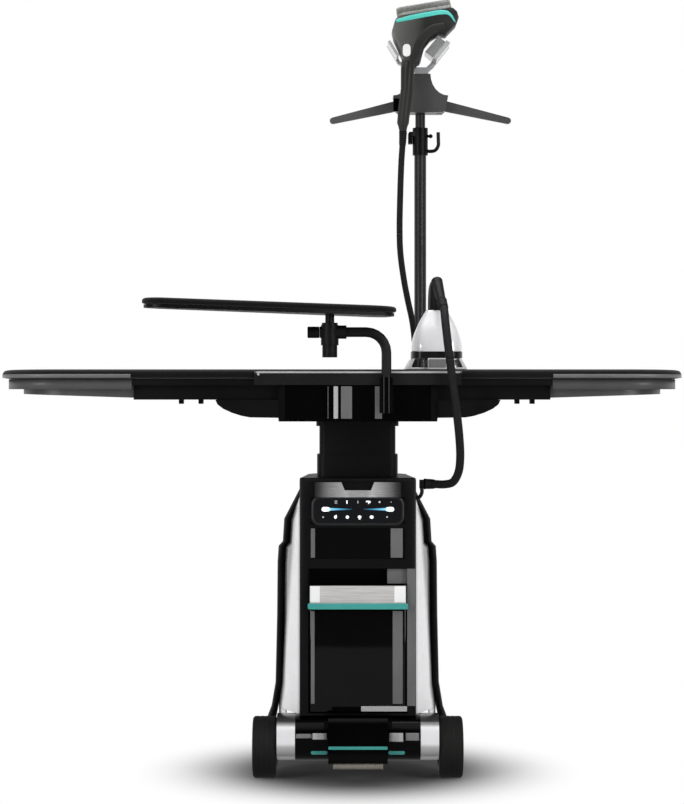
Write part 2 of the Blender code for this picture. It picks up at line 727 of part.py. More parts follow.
outer_column = prism("outer_column", column_ring(0, OUTER_WALL), "Z", column_low, OUTER_TOP,
                     "satin_black")
weld(outer_column, prism("column_glide_join",
                         column_ring(OUTER_WALL / 2, OUTER_WALL / 2 + GLIDE_GAP - SEAT_GAP), "Z",
                         OUTER_TOP - GLIDE_HEIGHT, OUTER_TOP - SEAT_GAP))
inner_inset = OUTER_WALL + GLIDE_GAP
inner_column = prism("inner_column", column_ring(inner_inset, INNER_WALL), "Z", INNER_BOTTOM,
                     FLANGE_TOP - FLANGE_THICKNESS / 2, "satin_black")
weld(inner_column, prism("inner_foot_join",
                         column_ring(OUTER_WALL + SEAT_GAP, GLIDE_GAP + INNER_WALL / 2 - SEAT_GAP),
                         "Z", INNER_BOTTOM + SEAT_GAP, INNER_BOTTOM + GLIDE_HEIGHT))
weld(inner_column, prism("flange_join",
                         [rounded_rectangle(OUTER_HALF_X - inner_inset + FLANGE_MARGIN,
                                            OUTER_HALF_Y - inner_inset + FLANGE_MARGIN,
                                            COLUMN_ROUND)],
                         "Z", FLANGE_TOP - FLANGE_THICKNESS, FLANGE_TOP))

GAS_TUBE_RADIUS = 0.014
GAS_BORE = 0.0075
GAS_TUBE_TOP = 0.400
GAS_ROD_RADIUS = 0.0065
gas_height = GAS_TUBE_TOP - column_low
gas_floor = TRAY_THICKNESS
turned("gas_spring_tube",
       [(0, gas_floor), (GAS_BORE, gas_floor), (GAS_BORE, gas_height),
        (GAS_TUBE_RADIUS, gas_height), (GAS_TUBE_RADIUS, 0), (0, 0)],
       (0, 0, column_low), "Z", "steel")
rod("gas_spring_rod", (0, 0, column_low + gas_floor + RUN_GAP * 4),
    (0, 0, FLANGE_TOP - FLANGE_THICKNESS - SEAT_GAP), GAS_ROD_RADIUS, "steel", SMALL_SIDES)

# Top deck: the cover round the column
DECK_ROUND = 0.003
deck_half_width = FRONT_HALF_WIDTH
deck_outline = [(-deck_half_width, frame_back + SEAT_GAP), (deck_half_width, frame_back + SEAT_GAP)]
deck_outline += [(-x, y) for x, y in shell_outline(deck_low)]
top_deck = prism("top_deck", [deck_outline,
                              list(reversed(rounded_rectangle(OUTER_HALF_X + SEAT_GAP,
                                                              OUTER_HALF_Y + SEAT_GAP,
                                                              COLUMN_ROUND + SEAT_GAP)))],
                 "Z", deck_low, BASE_TOP, "gloss_black")

# Water tank: a hollow tank that slides out of its bay, with a handle and a flap lid
BAY_WALL = 0.002
BAY_BACK = -0.0535
TANK_HALF_WIDTH = 0.0905
TANK_TOP = 0.3280
TANK_WALL = 0.0025
TANK_ROUND = 0.008
TANK_CLEAR = 0.0004
FILL_HALF_X = 0.025
FILL_HALF_Y = 0.018
FILL_Y = -0.098
bay_half = MOUTH_HALF_WIDTH - SEAT_GAP * 2
bay_low = tray_high - SEAT_GAP
bay_high = MOUTH_TOP - SEAT_GAP
weld(base_tray, block("tank_bay_join", (-bay_half, frame_back + RUN_GAP, bay_low),
                      (bay_half, BAY_BACK, bay_high)))
cut(base_tray, block("bay_room", (-bay_half + BAY_WALL, frame_back - OVERRUN, bay_low + BAY_WALL),
                     (bay_half - BAY_WALL, BAY_BACK - BAY_WALL, bay_high - BAY_WALL)))
tank_low = bay_low + BAY_WALL + TANK_CLEAR
tank_back = BAY_BACK - BAY_WALL - TANK_CLEAR
water_tank = block("water_tank", (-TANK_HALF_WIDTH, -BASE_FRONT, tank_low),
                   (TANK_HALF_WIDTH, tank_back, TANK_TOP), "gloss_black")
round_edges(water_tank, TANK_ROUND / 4)
cut(water_tank, block("tank_room", (-TANK_HALF_WIDTH + TANK_WALL, -BASE_FRONT + TANK_WALL,
                                    tank_low + TANK_WALL),
                      (TANK_HALF_WIDTH - TANK_WALL, tank_back - TANK_WALL, TANK_TOP - TANK_WALL)),
    block("tank_fill", (-FILL_HALF_X, FILL_Y - FILL_HALF_Y, TANK_TOP - TANK_WALL * 2),
          (FILL_HALF_X, FILL_Y + FILL_HALF_Y, TANK_TOP + OVERRUN)))

HANDLE_HALF_WIDTH = 0.0912
HANDLE_LOW = 0.3405
HANDLE_HIGH = 0.3723
HANDLE_FRONT = 0.160
HANDLE_PLATE = 0.006
LIP_FRONT = 0.165
LIP_HALF_WIDTH = 0.0948
LIP_BACK = -0.124
lip_low = TANK_TOP + SEAT_GAP
tank_handle = block("tank_handle", (-LIP_HALF_WIDTH + OVERRUN, -LIP_FRONT, lip_low),
                    (LIP_HALF_WIDTH - OVERRUN, LIP_BACK, HANDLE_LOW), "silver")
weld(tank_handle, block("handle_plate_join",
                        (-HANDLE_HALF_WIDTH + SEAT_GAP, -HANDLE_FRONT, HANDLE_LOW - OVERRUN),
                        (HANDLE_HALF_WIDTH - SEAT_GAP, HANDLE_PLATE - HANDLE_FRONT, HANDLE_HIGH)))

LID_THICKNESS = 0.004
LID_MARGIN = 0.003
lid_hinge_y = FILL_Y + FILL_HALF_Y + LID_MARGIN
tank_lid = block("tank_lid", (-FILL_HALF_X - LID_MARGIN, FILL_Y - FILL_HALF_Y - LID_MARGIN, lip_low),
                 (FILL_HALF_X + LID_MARGIN, lid_hinge_y, lip_low + LID_THICKNESS), "satin_black")
set_origin(tank_lid, (0, lid_hinge_y, lip_low))

# Boiler: a steel pressure vessel on two saddles behind the column
BOILER_RADIUS = 0.038
BOILER_HALF_LENGTH = 0.085
BOILER_Y = 0.098
BOILER_LIFT = 0.012
SADDLE_HALF = 0.008
SADDLE_PLACE_share = 0.6
VALVE_REACH_share = 1.6
boiler_z = tray_high + BOILER_LIFT + BOILER_RADIUS
boiler = rod("boiler", (-BOILER_HALF_LENGTH, BOILER_Y, boiler_z),
             (BOILER_HALF_LENGTH, BOILER_Y, boiler_z), BOILER_RADIUS, "steel")
for side, side_name in ((-1, "left"), (1, "right")):
    middle = side * BOILER_HALF_LENGTH * SADDLE_PLACE_share
    weld(boiler, block("saddle_" + side_name,
                       (middle - SADDLE_HALF, BOILER_Y - BOILER_RADIUS / 2, tray_high + SEAT_GAP),
                       (middle + SADDLE_HALF, BOILER_Y + BOILER_RADIUS / 2, boiler_z)))
weld(boiler, rod("boiler_valve", (0, BOILER_Y, boiler_z),
                 (0, BOILER_Y, boiler_z + BOILER_RADIUS * VALVE_REACH_share),
                 BOILER_RADIUS / 3, sides=SMALL_SIDES))

# Hose socket: a steel-faced block on the back of the base that the steamer's hose enters
SOCKET_X = -0.060
SOCKET_Z = 0.300
SOCKET_HALF_WIDTH = 0.018
SOCKET_HEIGHT = 0.045
SOCKET_DEPTH = 0.056
HOSE_RADIUS = 0.00625
STEAM_HOSE_Y = 0.188
SOCKET_ROUND = 0.003
shell_at_socket = max(between(list(reversed(shell_outline(height))),
                              SOCKET_X + SOCKET_HALF_WIDTH - SOCKET_ROUND)
                      for height in (SOCKET_Z, SOCKET_Z + SOCKET_HEIGHT))
socket_front = shell_at_socket + SEAT_GAP
hose_socket = block("hose_socket", (SOCKET_X - SOCKET_HALF_WIDTH, socket_front, SOCKET_Z),
                    (SOCKET_X + SOCKET_HALF_WIDTH, socket_front + SOCKET_DEPTH,
                     SOCKET_Z + SOCKET_HEIGHT), "satin_black")
round_edges(hose_socket, SOCKET_ROUND)

# Board: a hollow cradle on the column, a frame with end covers and a padded top
BOARD_X = -COLUMN_OFFSET
CRADLE_TOP_HALF = 0.268
CRADLE_LOW_HALF = 0.203
CRADLE_LOW = 0.6910
CRADLE_HUB_HALF = 0.149
CRADLE_FRONT = 0.185
CRADLE_BACK = 0.150
CRADLE_WALL = 0.003
CRADLE_STEP = 0.0008
CRADLE_BEND_STEPS = 5
cradle_high = BOARD_UNDERSIDE - SEAT_GAP
hub_low = FLANGE_TOP + SEAT_GAP


CRADLE_FLARE_POWER = 1.2
CRADLE_CLIMB_POWER = 0.8


def cradle_outline(inset):
    """The boat shape of the cradle in (X, Z), with sides that curve out to the top."""
    low = hub_low + inset
    shelf = CRADLE_LOW + inset
    half_line = [(CRADLE_HUB_HALF - inset, low),
                 (CRADLE_HUB_HALF - inset + CRADLE_STEP, shelf - CRADLE_STEP),
                 (CRADLE_LOW_HALF - inset, shelf)]
    for step in range(1, CRADLE_BEND_STEPS + 1):
        share = step / CRADLE_BEND_STEPS
        half_line.append((CRADLE_LOW_HALF - inset + (CRADLE_TOP_HALF - CRADLE_LOW_HALF)
                          * math.sin(share * math.pi / 2) ** CRADLE_FLARE_POWER,
                          shelf + (cradle_high - shelf) * (1 - math.cos(share * math.pi / 2))
                          ** CRADLE_CLIMB_POWER))
    return half_line + [(-x, z) for x, z in reversed(half_line)]


board_cradle = prism("board_cradle", [cradle_outline(0)], "Y", -CRADLE_FRONT, CRADLE_BACK,
                     "satin_black")
room_outline = [(x, z + (OVERRUN * 2 if z > cradle_high - SEAT_GAP else 0))
                for x, z in cradle_outline(CRADLE_WALL)]
cut(board_cradle, prism("cradle_room", [room_outline], "Y", CRADLE_WALL - CRADLE_FRONT,
                        CRADLE_BACK - CRADLE_WALL))

# Pole socket: an arm and a cup cast on the back of the cradle
POLE_RADIUS = 0.0123
POLE_CUP_WALL = 0.0042
POLE_CUP_LOW = 0.700
POLE_CUP_HIGH = 0.786
POLE_CUP_FLOOR = 0.005
ARM_HALF_WIDTH = 0.014
ARM_TOP = 0.7225
pole_cup_radius = POLE_RADIUS + POLE_CUP_WALL
weld(board_cradle, block("pole_arm_join", (POLE_X - ARM_HALF_WIDTH, CRADLE_BACK - CRADLE_WALL / 2,
                                           POLE_CUP_LOW),
                         (POLE_X + ARM_HALF_WIDTH, POLE_Y, ARM_TOP)),
     rod("pole_cup_join", (POLE_X, POLE_Y, POLE_CUP_LOW - SEAT_GAP), (POLE_X, POLE_Y, POLE_CUP_HIGH),
         pole_cup_radius))
cut(board_cradle, rod("pole_cup_bore", (POLE_X, POLE_Y, POLE_CUP_LOW + POLE_CUP_FLOOR),
                      (POLE_X, POLE_Y, POLE_CUP_HIGH + OVERRUN), POLE_RADIUS + SEAT_GAP))

# Hub cover: the glossy nose on the cradle's front, with the sleeve board's socket cast on it
HUB_COVER_HIGH = 0.7510
NOSE_HALF = 0.056
NOSE_FRONT = 0.2065
COVER_FRONT = 0.197
NOSE_STEP = 0.0008
COVER_CORNER = 0.012
ARM_X = 0.0528
ARM_Y = -0.222
SLEEVE_TUBE_RADIUS = 0.0092
SLEEVE_CUP_WALL = 0.0038
SLEEVE_CUP_LOW = 0.700
SLEEVE_CUP_HIGH = 0.7665
SLEEVE_CUP_FLOOR = 0.006
cover_back = -CRADLE_FRONT - SEAT_GAP
NOSE_BOW_POWER = 0.7
NOSE_STEPS = 8
nose_line = []
for step in range(NOSE_STEPS + 1):
    share = step / NOSE_STEPS
    nose_line.append((NOSE_HALF * (2 * share - 1),
                      -COVER_FRONT - NOSE_STEP
                      - (NOSE_FRONT - COVER_FRONT - NOSE_STEP)
                      * math.sin(math.pi * share) ** NOSE_BOW_POWER))
hub_cover_outline = [(CRADLE_HUB_HALF, cover_back), (-CRADLE_HUB_HALF, cover_back),
                     (-CRADLE_HUB_HALF + COVER_CORNER, -COVER_FRONT)] + nose_line
hub_cover_outline += [(CRADLE_HUB_HALF - COVER_CORNER, -COVER_FRONT)]
hub_cover = prism("hub_cover", [hub_cover_outline], "Z", hub_low + SEAT_GAP, HUB_COVER_HIGH,
                  "gloss_black")
sleeve_cup_radius = SLEEVE_TUBE_RADIUS + SLEEVE_CUP_WALL
SLEEVE_WEB_share = 0.6
web_half = sleeve_cup_radius * SLEEVE_WEB_share
weld(hub_cover, block("sleeve_web_join", (ARM_X - web_half, ARM_Y, SLEEVE_CUP_LOW),
                      (ARM_X + web_half, -COVER_FRONT + COVER_CORNER / 3,
                       HUB_COVER_HIGH - SEAT_GAP)),
     rod("sleeve_cup_join", (ARM_X, ARM_Y, SLEEVE_CUP_LOW - SEAT_GAP),
         (ARM_X, ARM_Y, SLEEVE_CUP_HIGH), sleeve_cup_radius))
cut(hub_cover, rod("sleeve_cup_bore", (ARM_X, ARM_Y, SLEEVE_CUP_LOW + SLEEVE_CUP_FLOOR),
                   (ARM_X, ARM_Y, SLEEVE_CUP_HIGH + OVERRUN), SLEEVE_TUBE_RADIUS + SEAT_GAP))

# Frame: a shallow pan upside down, with a deeper middle that rests on the cradle
RIM_INSET = 0.012
RIM_LOW = 0.7516
RIM_HIGH = 0.7633
PAN_WALL = 0.003
MIDDLE_HALF = 0.393
MIDDLE_DEPTH_INSET = 0.030
half_length = BOARD_LENGTH / 2
half_depth = BOARD_DEPTH / 2


def board_outline(inset, steps=6):
    return rounded_rectangle(half_length - inset, half_depth - inset, BOARD_CORNER - inset,
                             (BOARD_X, 0), steps)


board_frame = prism("board_frame", [board_outline(RIM_INSET)], "Z", RIM_LOW, RIM_HIGH,
                    "gloss_black")
middle_low = (BOARD_X - MIDDLE_HALF, -half_depth + MIDDLE_DEPTH_INSET, BOARD_UNDERSIDE)
middle_high = (BOARD_X + MIDDLE_HALF, half_depth - MIDDLE_DEPTH_INSET, RIM_LOW + PAN_WALL)
weld(board_frame, block("frame_middle_join", middle_low, middle_high))
cut(board_frame,
    block("frame_middle_room", (middle_low[0] + PAN_WALL, middle_low[1] + PAN_WALL,
                                BOARD_UNDERSIDE - OVERRUN),
          (middle_high[0] - PAN_WALL, middle_high[1] - PAN_WALL, RIM_HIGH - PAN_WALL)))
for side, side_name in ((-1, "left"), (1, "right")):
    room_low, room_high = sorted((BOARD_X + side * (MIDDLE_HALF + PAN_WALL / 2),
                                  BOARD_X + side * (half_length + OVERRUN)))
    tool = prism("frame_end_room_" + side_name, [board_outline(RIM_INSET + PAN_WALL * 2)], "Z",
                 RIM_LOW - OVERRUN, RIM_HIGH - PAN_WALL)
    keep = block("frame_end_keep_" + side_name, (room_low, -half_depth, RIM_LOW - OVERRUN * 2),
                 (room_high, half_depth, RIM_HIGH))
    combine(tool, keep, "INTERSECT")
    cut(board_frame, tool)

# End covers: dark grey pans that close the frame's underside past its middle
COVER_REACH = 0.613
COVER_HALF_DEPTH = 0.163
COVER_ROUND = 0.085
COVER_TIP_LOW = 0.7350
COVER_ROOT_LOW = 0.7279
COVER_WALL = 0.003
cover_high = RIM_LOW - SEAT_GAP
end_slab = prism("end_cover_right", [rounded_rectangle(COVER_REACH, COVER_HALF_DEPTH, COVER_ROUND,
                                                  (BOARD_X, 0))],
                 "Z", BOARD_UNDERSIDE, cover_high, "dark_grey")


def end_wedge(name, wall, top):
    """The right end of the space between the sloping underside and the frame."""
    start = MIDDLE_HALF + SEAT_GAP + wall
    outline = [(start, COVER_ROOT_LOW + wall), (COVER_REACH + OVERRUN, COVER_TIP_LOW + wall),
               (COVER_REACH + OVERRUN, top), (start, top)]
    return prism(name, [[(BOARD_X + x, z) for x, z in outline]], "Y", -half_depth, half_depth)


combine(end_slab, end_wedge("end_wedge", 0, cover_high + OVERRUN), "INTERSECT")
end_room = prism("end_room", [rounded_rectangle(COVER_REACH - COVER_WALL,
                                                COVER_HALF_DEPTH - COVER_WALL,
                                                COVER_ROUND - COVER_WALL, (BOARD_X, 0))],
                 "Z", BOARD_UNDERSIDE, cover_high + OVERRUN)
combine(end_room, end_wedge("end_room_wedge", COVER_WALL, cover_high + OVERRUN * 2), "INTERSECT")
cut(end_slab, end_room)
twin(end_slab, "end_cover_left", BOARD_X)

# Pad: a soft cover with a low crown whose sides draw in under it
PAD_TOP = 0.7822
pad_low = RIM_HIGH + SEAT_GAP
pad_high = PAD_TOP - pad_low
# inset over the pad's height, level over the pad's height
pad_rows_shares = [(0.75, 0.0), (0.10, 0.12), (0.0, 0.42), (0.10, 0.70), (0.42, 0.87),
                   (1.30, 0.945), (3.60, 0.985), (7.00, 1.0)]


def pad_skin(name, outline_at, low, height, finish):
    """A pad through outlines that draw in below and climb to the crown above."""
    rings = [[(x, y, low + height * level) for x, y in outline_at(height * inset)]
             for inset, level in pad_rows_shares]
    return loft(name, rings, finish)


PAD_CROWN_share = 0.9
pad_skin("board_pad", lambda inset: board_outline(min(inset, BOARD_CORNER * PAD_CROWN_share), 5),
         pad_low, pad_high, "fabric")

# Front lip: the bumper bar along the middle of the board's front edge
LIP_BAR_HALF = 0.194
LIP_BAR_LOW = 0.7520
LIP_BAR_HIGH = 0.7780
LIP_BAR_THICKNESS = 0.007
LIP_FOOT_HIGH = 0.7600
lip_back = -half_depth - SEAT_GAP
lip_foot_back = -half_depth + RIM_INSET - SEAT_GAP
prism("front_lip", [[(lip_back - LIP_BAR_THICKNESS, LIP_BAR_LOW), (lip_foot_back, LIP_BAR_LOW),
                     (lip_foot_back, LIP_FOOT_HIGH), (lip_back, LIP_FOOT_HIGH + RUN_GAP),
                     (lip_back, LIP_BAR_HIGH), (lip_back - LIP_BAR_THICKNESS / 2, LIP_BAR_HIGH),
                     (lip_back - LIP_BAR_THICKNESS, LIP_BAR_HIGH - LIP_BAR_THICKNESS / 2)]],
      "X", -LIP_BAR_HALF, LIP_BAR_HALF, "gloss_black")

# Sleeve board: a bent tube in its socket, a clamp, a post and a small padded board
TUBE_LEVEL = 0.8505
TUBE_BEND = 0.038
POST_X = -0.0528
POST_RADIUS = 0.0085
CLAMP_HALF_X = 0.0250
CLAMP_RADIUS = 0.0165
FERRULE_RADIUS = 0.0125
CLAMP_LOW = 0.8260
CLAMP_HIGH = 0.8635
CLAMP_STEM_LOW = 0.8034
CLAMP_STEM_RADIUS = 0.0140
arm_bottom = SLEEVE_CUP_LOW + SLEEVE_CUP_FLOOR + SEAT_GAP
corner_x = ARM_X - TUBE_BEND
arm_route = [(ARM_X, ARM_Y, arm_bottom), (ARM_X, ARM_Y, TUBE_LEVEL - TUBE_BEND)]
for step in range(1, 7):
    angle = math.pi / 2 * step / 6
    arm_route.append((corner_x + TUBE_BEND * math.cos(angle), ARM_Y,
                      TUBE_LEVEL - TUBE_BEND + TUBE_BEND * math.sin(angle)))
arm_route.append((POST_X + CLAMP_HALF_X / 2, ARM_Y, TUBE_LEVEL))
sleeve_arm = as_mesh(bent_tube("sleeve_arm", arm_route, SLEEVE_TUBE_RADIUS))
sleeve_arm.data.materials.append(finish_material("sleeve_arm_finish", *FINISHES["satin_black"]))
KNOB_RADIUS = 0.0107
KNOB_LENGTH = 0.0225
clamp_left = POST_X + CLAMP_HALF_X / 4 - CLAMP_HALF_X
clamp_right = POST_X + CLAMP_HALF_X / 4 + CLAMP_HALF_X
knob_z = (CLAMP_HIGH + CLAMP_LOW) / 2 + KNOB_RADIUS / 2
weld(sleeve_arm, rod("clamp_join", (POST_X, ARM_Y, CLAMP_LOW), (POST_X, ARM_Y, CLAMP_HIGH),
                     CLAMP_RADIUS),
     rod("clamp_boss_join", (clamp_left, ARM_Y, knob_z), (POST_X, ARM_Y, knob_z), KNOB_RADIUS,
         sides=12),
     rod("clamp_ferrule_join", (POST_X, ARM_Y, TUBE_LEVEL), (clamp_right, ARM_Y, TUBE_LEVEL),
         FERRULE_RADIUS),
     rod("clamp_stem_join", (POST_X, ARM_Y, CLAMP_STEM_LOW),
         (POST_X, ARM_Y, CLAMP_HIGH - SEAT_GAP), CLAMP_STEM_RADIUS))
post_bottom = CLAMP_STEM_LOW + SLEEVE_CUP_FLOOR
cut(sleeve_arm, rod("post_bore", (POST_X, ARM_Y, post_bottom), (POST_X, ARM_Y, CLAMP_HIGH + OVERRUN),
                    POST_RADIUS + SEAT_GAP))
set_origin(sleeve_arm, (ARM_X, ARM_Y, TUBE_LEVEL))

knob_face = clamp_left - SEAT_GAP
clamp_knob = rod("clamp_knob", (knob_face - KNOB_LENGTH, ARM_Y, knob_z), (knob_face, ARM_Y, knob_z),
                 KNOB_RADIUS, "satin_black", sides=12)
round_edges(clamp_knob, KNOB_RADIUS / 8, segments=1)
set_origin(clamp_knob, (knob_face, ARM_Y, knob_z))

SLEEVE_LENGTH = 0.474
SLEEVE_SHORT_END = 0.121
SLEEVE_HALF_WIDE = 0.055
SLEEVE_HALF_NARROW = 0.036
SLEEVE_YAW = math.radians(14)
SLEEVE_LEAN = math.radians(1.66)
SLEEVE_CENTRE_Z = 0.8925
SLEEVE_PLATE = 0.006
SLEEVE_PAD_THICKNESS = 0.0135
POST_FLANGE_RADIUS = 0.015
POST_FLANGE = 0.004


SLEEVE_HEEL_share = 0.55
SLEEVE_CROWN_share = 0.8


def sleeve_outline(inset):
    """The sleeve board from above: wide by its post and tapering to a round nose."""
    steps = 6
    nose_radius = SLEEVE_HALF_NARROW - inset
    heel_radius = SLEEVE_HALF_WIDE * SLEEVE_HEEL_share
    nose_x = -(SLEEVE_LENGTH - SLEEVE_SHORT_END) + SLEEVE_HALF_NARROW
    heel_x = SLEEVE_SHORT_END - inset - heel_radius
    heel_y = SLEEVE_HALF_WIDE - inset - heel_radius
    line = []
    for step in range(steps + 1):
        angle = math.pi / 2 + math.pi * step / steps
        line.append((nose_x + nose_radius * math.cos(angle), nose_radius * math.sin(angle)))
    for corner, start in ((-1, 270), (1, 0)):
        for step in range(CORNER_STEPS + 1):
            angle = math.radians(start + 90 * step / CORNER_STEPS)
            line.append((heel_x + heel_radius * math.cos(angle),
                         corner * heel_y + heel_radius * math.sin(angle)))
    return line


sleeve_frame = (Matrix.Translation((POST_X, ARM_Y, SLEEVE_CENTRE_Z))
                @ Matrix.Rotation(SLEEVE_YAW, 4, "Z") @ Matrix.Rotation(SLEEVE_LEAN, 4, "Y"))
plate_high = -SLEEVE_PAD_THICKNESS / 4
plate_low = plate_high - SLEEVE_PLATE
sleeve_board = prism("sleeve_board", [sleeve_outline(SLEEVE_PLATE / 2)], "Z", plate_low, plate_high,
                     "satin_black")
moved_mesh(sleeve_board, sleeve_frame)
post_high = SLEEVE_CENTRE_Z + plate_low + SLEEVE_PLATE / 2
weld(sleeve_board, rod("post_join", (POST_X, ARM_Y, post_bottom + SEAT_GAP),
                       (POST_X, ARM_Y, post_high), POST_RADIUS),
     rod("post_flange_join", (POST_X, ARM_Y, CLAMP_HIGH + SEAT_GAP),
         (POST_X, ARM_Y, CLAMP_HIGH + SEAT_GAP + POST_FLANGE), POST_FLANGE_RADIUS))
set_origin(sleeve_board, (POST_X, ARM_Y, CLAMP_HIGH))
sleeve_crown = SLEEVE_HALF_NARROW * SLEEVE_CROWN_share
sleeve_pad = pad_skin("sleeve_pad", lambda inset: sleeve_outline(min(inset, sleeve_crown)),
                      plate_high + SEAT_GAP, SLEEVE_PAD_THICKNESS, "fabric")
moved_mesh(sleeve_pad, sleeve_frame)

# Iron rest: a shallow tray on the pad with raised sides, a heel block and a nose block
IRON_X = 0.1505
REST_HALF_WIDTH = 0.0575
REST_SHOULDER = 0.046
REST_RAIL = 0.004
REST_FLOOR = 0.003
REST_FRONT = -0.142
REST_BACK = 0.105
REST_HIGH = 0.8022
BLOCK_HALF_WIDTH = 0.0175
BLOCK_DEPTH = 0.030
HEEL_BLOCK_FRONT = -0.152
rest_low = PAD_TOP + SEAT_GAP
rest_floor = rest_low + REST_FLOOR
rest_outline = [(-REST_HALF_WIDTH, rest_low), (REST_HALF_WIDTH, rest_low),
                (REST_SHOULDER, REST_HIGH), (REST_SHOULDER - REST_RAIL, REST_HIGH),
                (REST_HALF_WIDTH - REST_RAIL * 2, rest_floor),
                (REST_RAIL * 2 - REST_HALF_WIDTH, rest_floor),
                (REST_RAIL - REST_SHOULDER, REST_HIGH), (-REST_SHOULDER, REST_HIGH)]
rest_outline = [(IRON_X + x, z + (SEAT_GAP if abs(x) == REST_SHOULDER else 0))
                for x, z in rest_outline]
iron_rest = prism("iron_rest", [rest_outline], "Y", REST_FRONT, REST_BACK, "white")
sole_low = REST_HIGH + RUN_GAP + SEAT_GAP
block_high = sole_low - SEAT_GAP
weld(iron_rest, block("rest_heel_join", (IRON_X - BLOCK_HALF_WIDTH, HEEL_BLOCK_FRONT, rest_low),
                      (IRON_X + BLOCK_HALF_WIDTH, HEEL_BLOCK_FRONT + BLOCK_DEPTH, block_high)),
     block("rest_nose_join", (IRON_X - BLOCK_HALF_WIDTH, REST_BACK - BLOCK_DEPTH * 3 / 2,
                              rest_floor - REST_FLOOR / 2),
           (IRON_X + BLOCK_HALF_WIDTH, REST_BACK - BLOCK_DEPTH / 2, block_high)))

# Iron: soleplate with its skirt, silver body, loop handle with a cord guard, steam trigger
IRON_HALF_WIDTH = 0.049
IRON_HEEL = -0.150
IRON_NOSE = 0.115
SOLE_THICKNESS = 0.0120
IRON_CORNER_share = 0.55
IRON_BODY_TOP = 0.8950
GRIP_RADIUS = 0.0125
GRIP_TOP = 0.9425
FLANK_WIDTH_POWER = 0.75
FLANK_LENGTH_POWER = 0.95
NOSE_TIP_share = 0.02
HEEL_PILLAR_share = 0.155
NOSE_PILLAR_share = 0.475


def iron_outline(half_width, heel, nose, steps=7):
    """The iron from above: a round-cornered heel and sides that curve into a pointed nose."""
    corner = half_width * IRON_CORNER_share
    line = []
    for step in range(4):
        angle = math.radians(270 + 90 * step / 3)
        line.append((half_width - corner + corner * math.cos(angle),
                     heel + corner + corner * math.sin(angle)))
    run = nose - heel - corner
    for step in range(1, steps):
        share = step / steps
        line.append((half_width * math.cos(share * math.pi / 2) ** FLANK_WIDTH_POWER,
                     heel + corner + run * math.sin(share * math.pi / 2) ** FLANK_LENGTH_POWER))
    line.append((half_width * NOSE_TIP_share, nose))
    return [(IRON_X + x, y) for x, y in line] + [(IRON_X - x, y) for x, y in reversed(line)]


sole_high = sole_low + SOLE_THICKNESS
iron_soleplate = prism("iron_soleplate", [iron_outline(IRON_HALF_WIDTH, IRON_HEEL, IRON_NOSE)], "Z",
                       sole_low, sole_high, "steel")
# level, half width, heel setback and nose setback as shares of the body's own sizes
iron_body_shares = [(0.00, 0.97, 0.00, 0.02), (0.16, 0.98, 0.005, 0.06), (0.38, 0.90, 0.02, 0.16),
                    (0.60, 0.76, 0.04, 0.28), (0.80, 0.60, 0.07, 0.38), (1.00, 0.40, 0.10, 0.44)]
iron_length = IRON_NOSE - IRON_HEEL
rings = []
body_low = sole_high + SEAT_GAP
for level, wide, heel_share, nose_share in iron_body_shares:
    height = body_low + (IRON_BODY_TOP - body_low) * level
    rings.append([(x, y, height) for x, y in
                  iron_outline(IRON_HALF_WIDTH * wide, IRON_HEEL + iron_length * heel_share,
                               IRON_NOSE - iron_length * nose_share)])
iron_body = loft("iron_body", rings, "silver")

grip_low = IRON_BODY_TOP + SEAT_GAP
heel_pillar_y = IRON_HEEL + iron_length * HEEL_PILLAR_share
nose_pillar_y = IRON_NOSE - iron_length * NOSE_PILLAR_share
GUARD_LENGTH = 0.050
# the guard's root behind and under the heel pillar's top, and the grip's line, as shares of the
# grip's radius: distance behind or before a pillar, depth under the grip's top
guard_root_shares = (0.8, 0.15)
GUARD_OVERLAP_share = 1.3
GUARD_ROOT_share = 0.9
GUARD_TIP_share = 1.1
heel_line_shares = [(-0.3, 0.35), (0.9, 0.0)]
nose_line_shares = [(-1.6, 0.5), (-0.2, 1.5)]
grip_swell_shares = [1.25, 1.1, 1.0, 1.0, 1.0, 1.0, 1.0, 1.05]
guard_start = Vector((IRON_X + GRIP_RADIUS / 5, heel_pillar_y - GRIP_RADIUS * guard_root_shares[0],
                      GRIP_TOP - GRIP_RADIUS * guard_root_shares[1]))
guard_run = Vector((0.10, -0.80, -0.59)).normalized()
guard_end = guard_start + guard_run * GUARD_LENGTH
grip_route = [(IRON_X, heel_pillar_y, grip_low - GRIP_RADIUS),
              (IRON_X, heel_pillar_y - GRIP_RADIUS / 2, (grip_low + GRIP_TOP) / 2)]
grip_route += [(IRON_X, heel_pillar_y + GRIP_RADIUS * reach, GRIP_TOP - GRIP_RADIUS * drop)
               for reach, drop in heel_line_shares]
grip_route += [(IRON_X, (heel_pillar_y + nose_pillar_y) / 2, GRIP_TOP)]
grip_route += [(IRON_X, nose_pillar_y + GRIP_RADIUS * reach, GRIP_TOP - GRIP_RADIUS * drop)
               for reach, drop in nose_line_shares]
grip_route += [(IRON_X, nose_pillar_y, grip_low - GRIP_RADIUS)]
iron_handle = as_mesh(bent_tube("iron_handle", grip_route, GRIP_RADIUS, resolution=3,
                                radii=grip_swell_shares))
iron_handle.data.materials.append(finish_material("iron_handle_finish", *FINISHES["satin_black"]))
IRON_HOSE_RADIUS = 0.0078
HOSE_STUB = 0.008
weld(iron_handle, rod("guard_join", guard_start - guard_run * GRIP_RADIUS * GUARD_OVERLAP_share,
                      guard_end, GRIP_RADIUS * GUARD_ROOT_share, sides=SMALL_SIDES,
                      end_radius=IRON_HOSE_RADIUS * GUARD_TIP_share))
TRIGGER_HALF = (0.0055, 0.015, 0.0035)
TRIGGER_TRAVEL = 0.003
TRIGGER_DROP = 0.003
trigger_y = (heel_pillar_y + nose_pillar_y) / 2
trigger_low = GRIP_TOP - GRIP_RADIUS - TRIGGER_DROP
trigger_high = trigger_low + TRIGGER_HALF[2] * 2
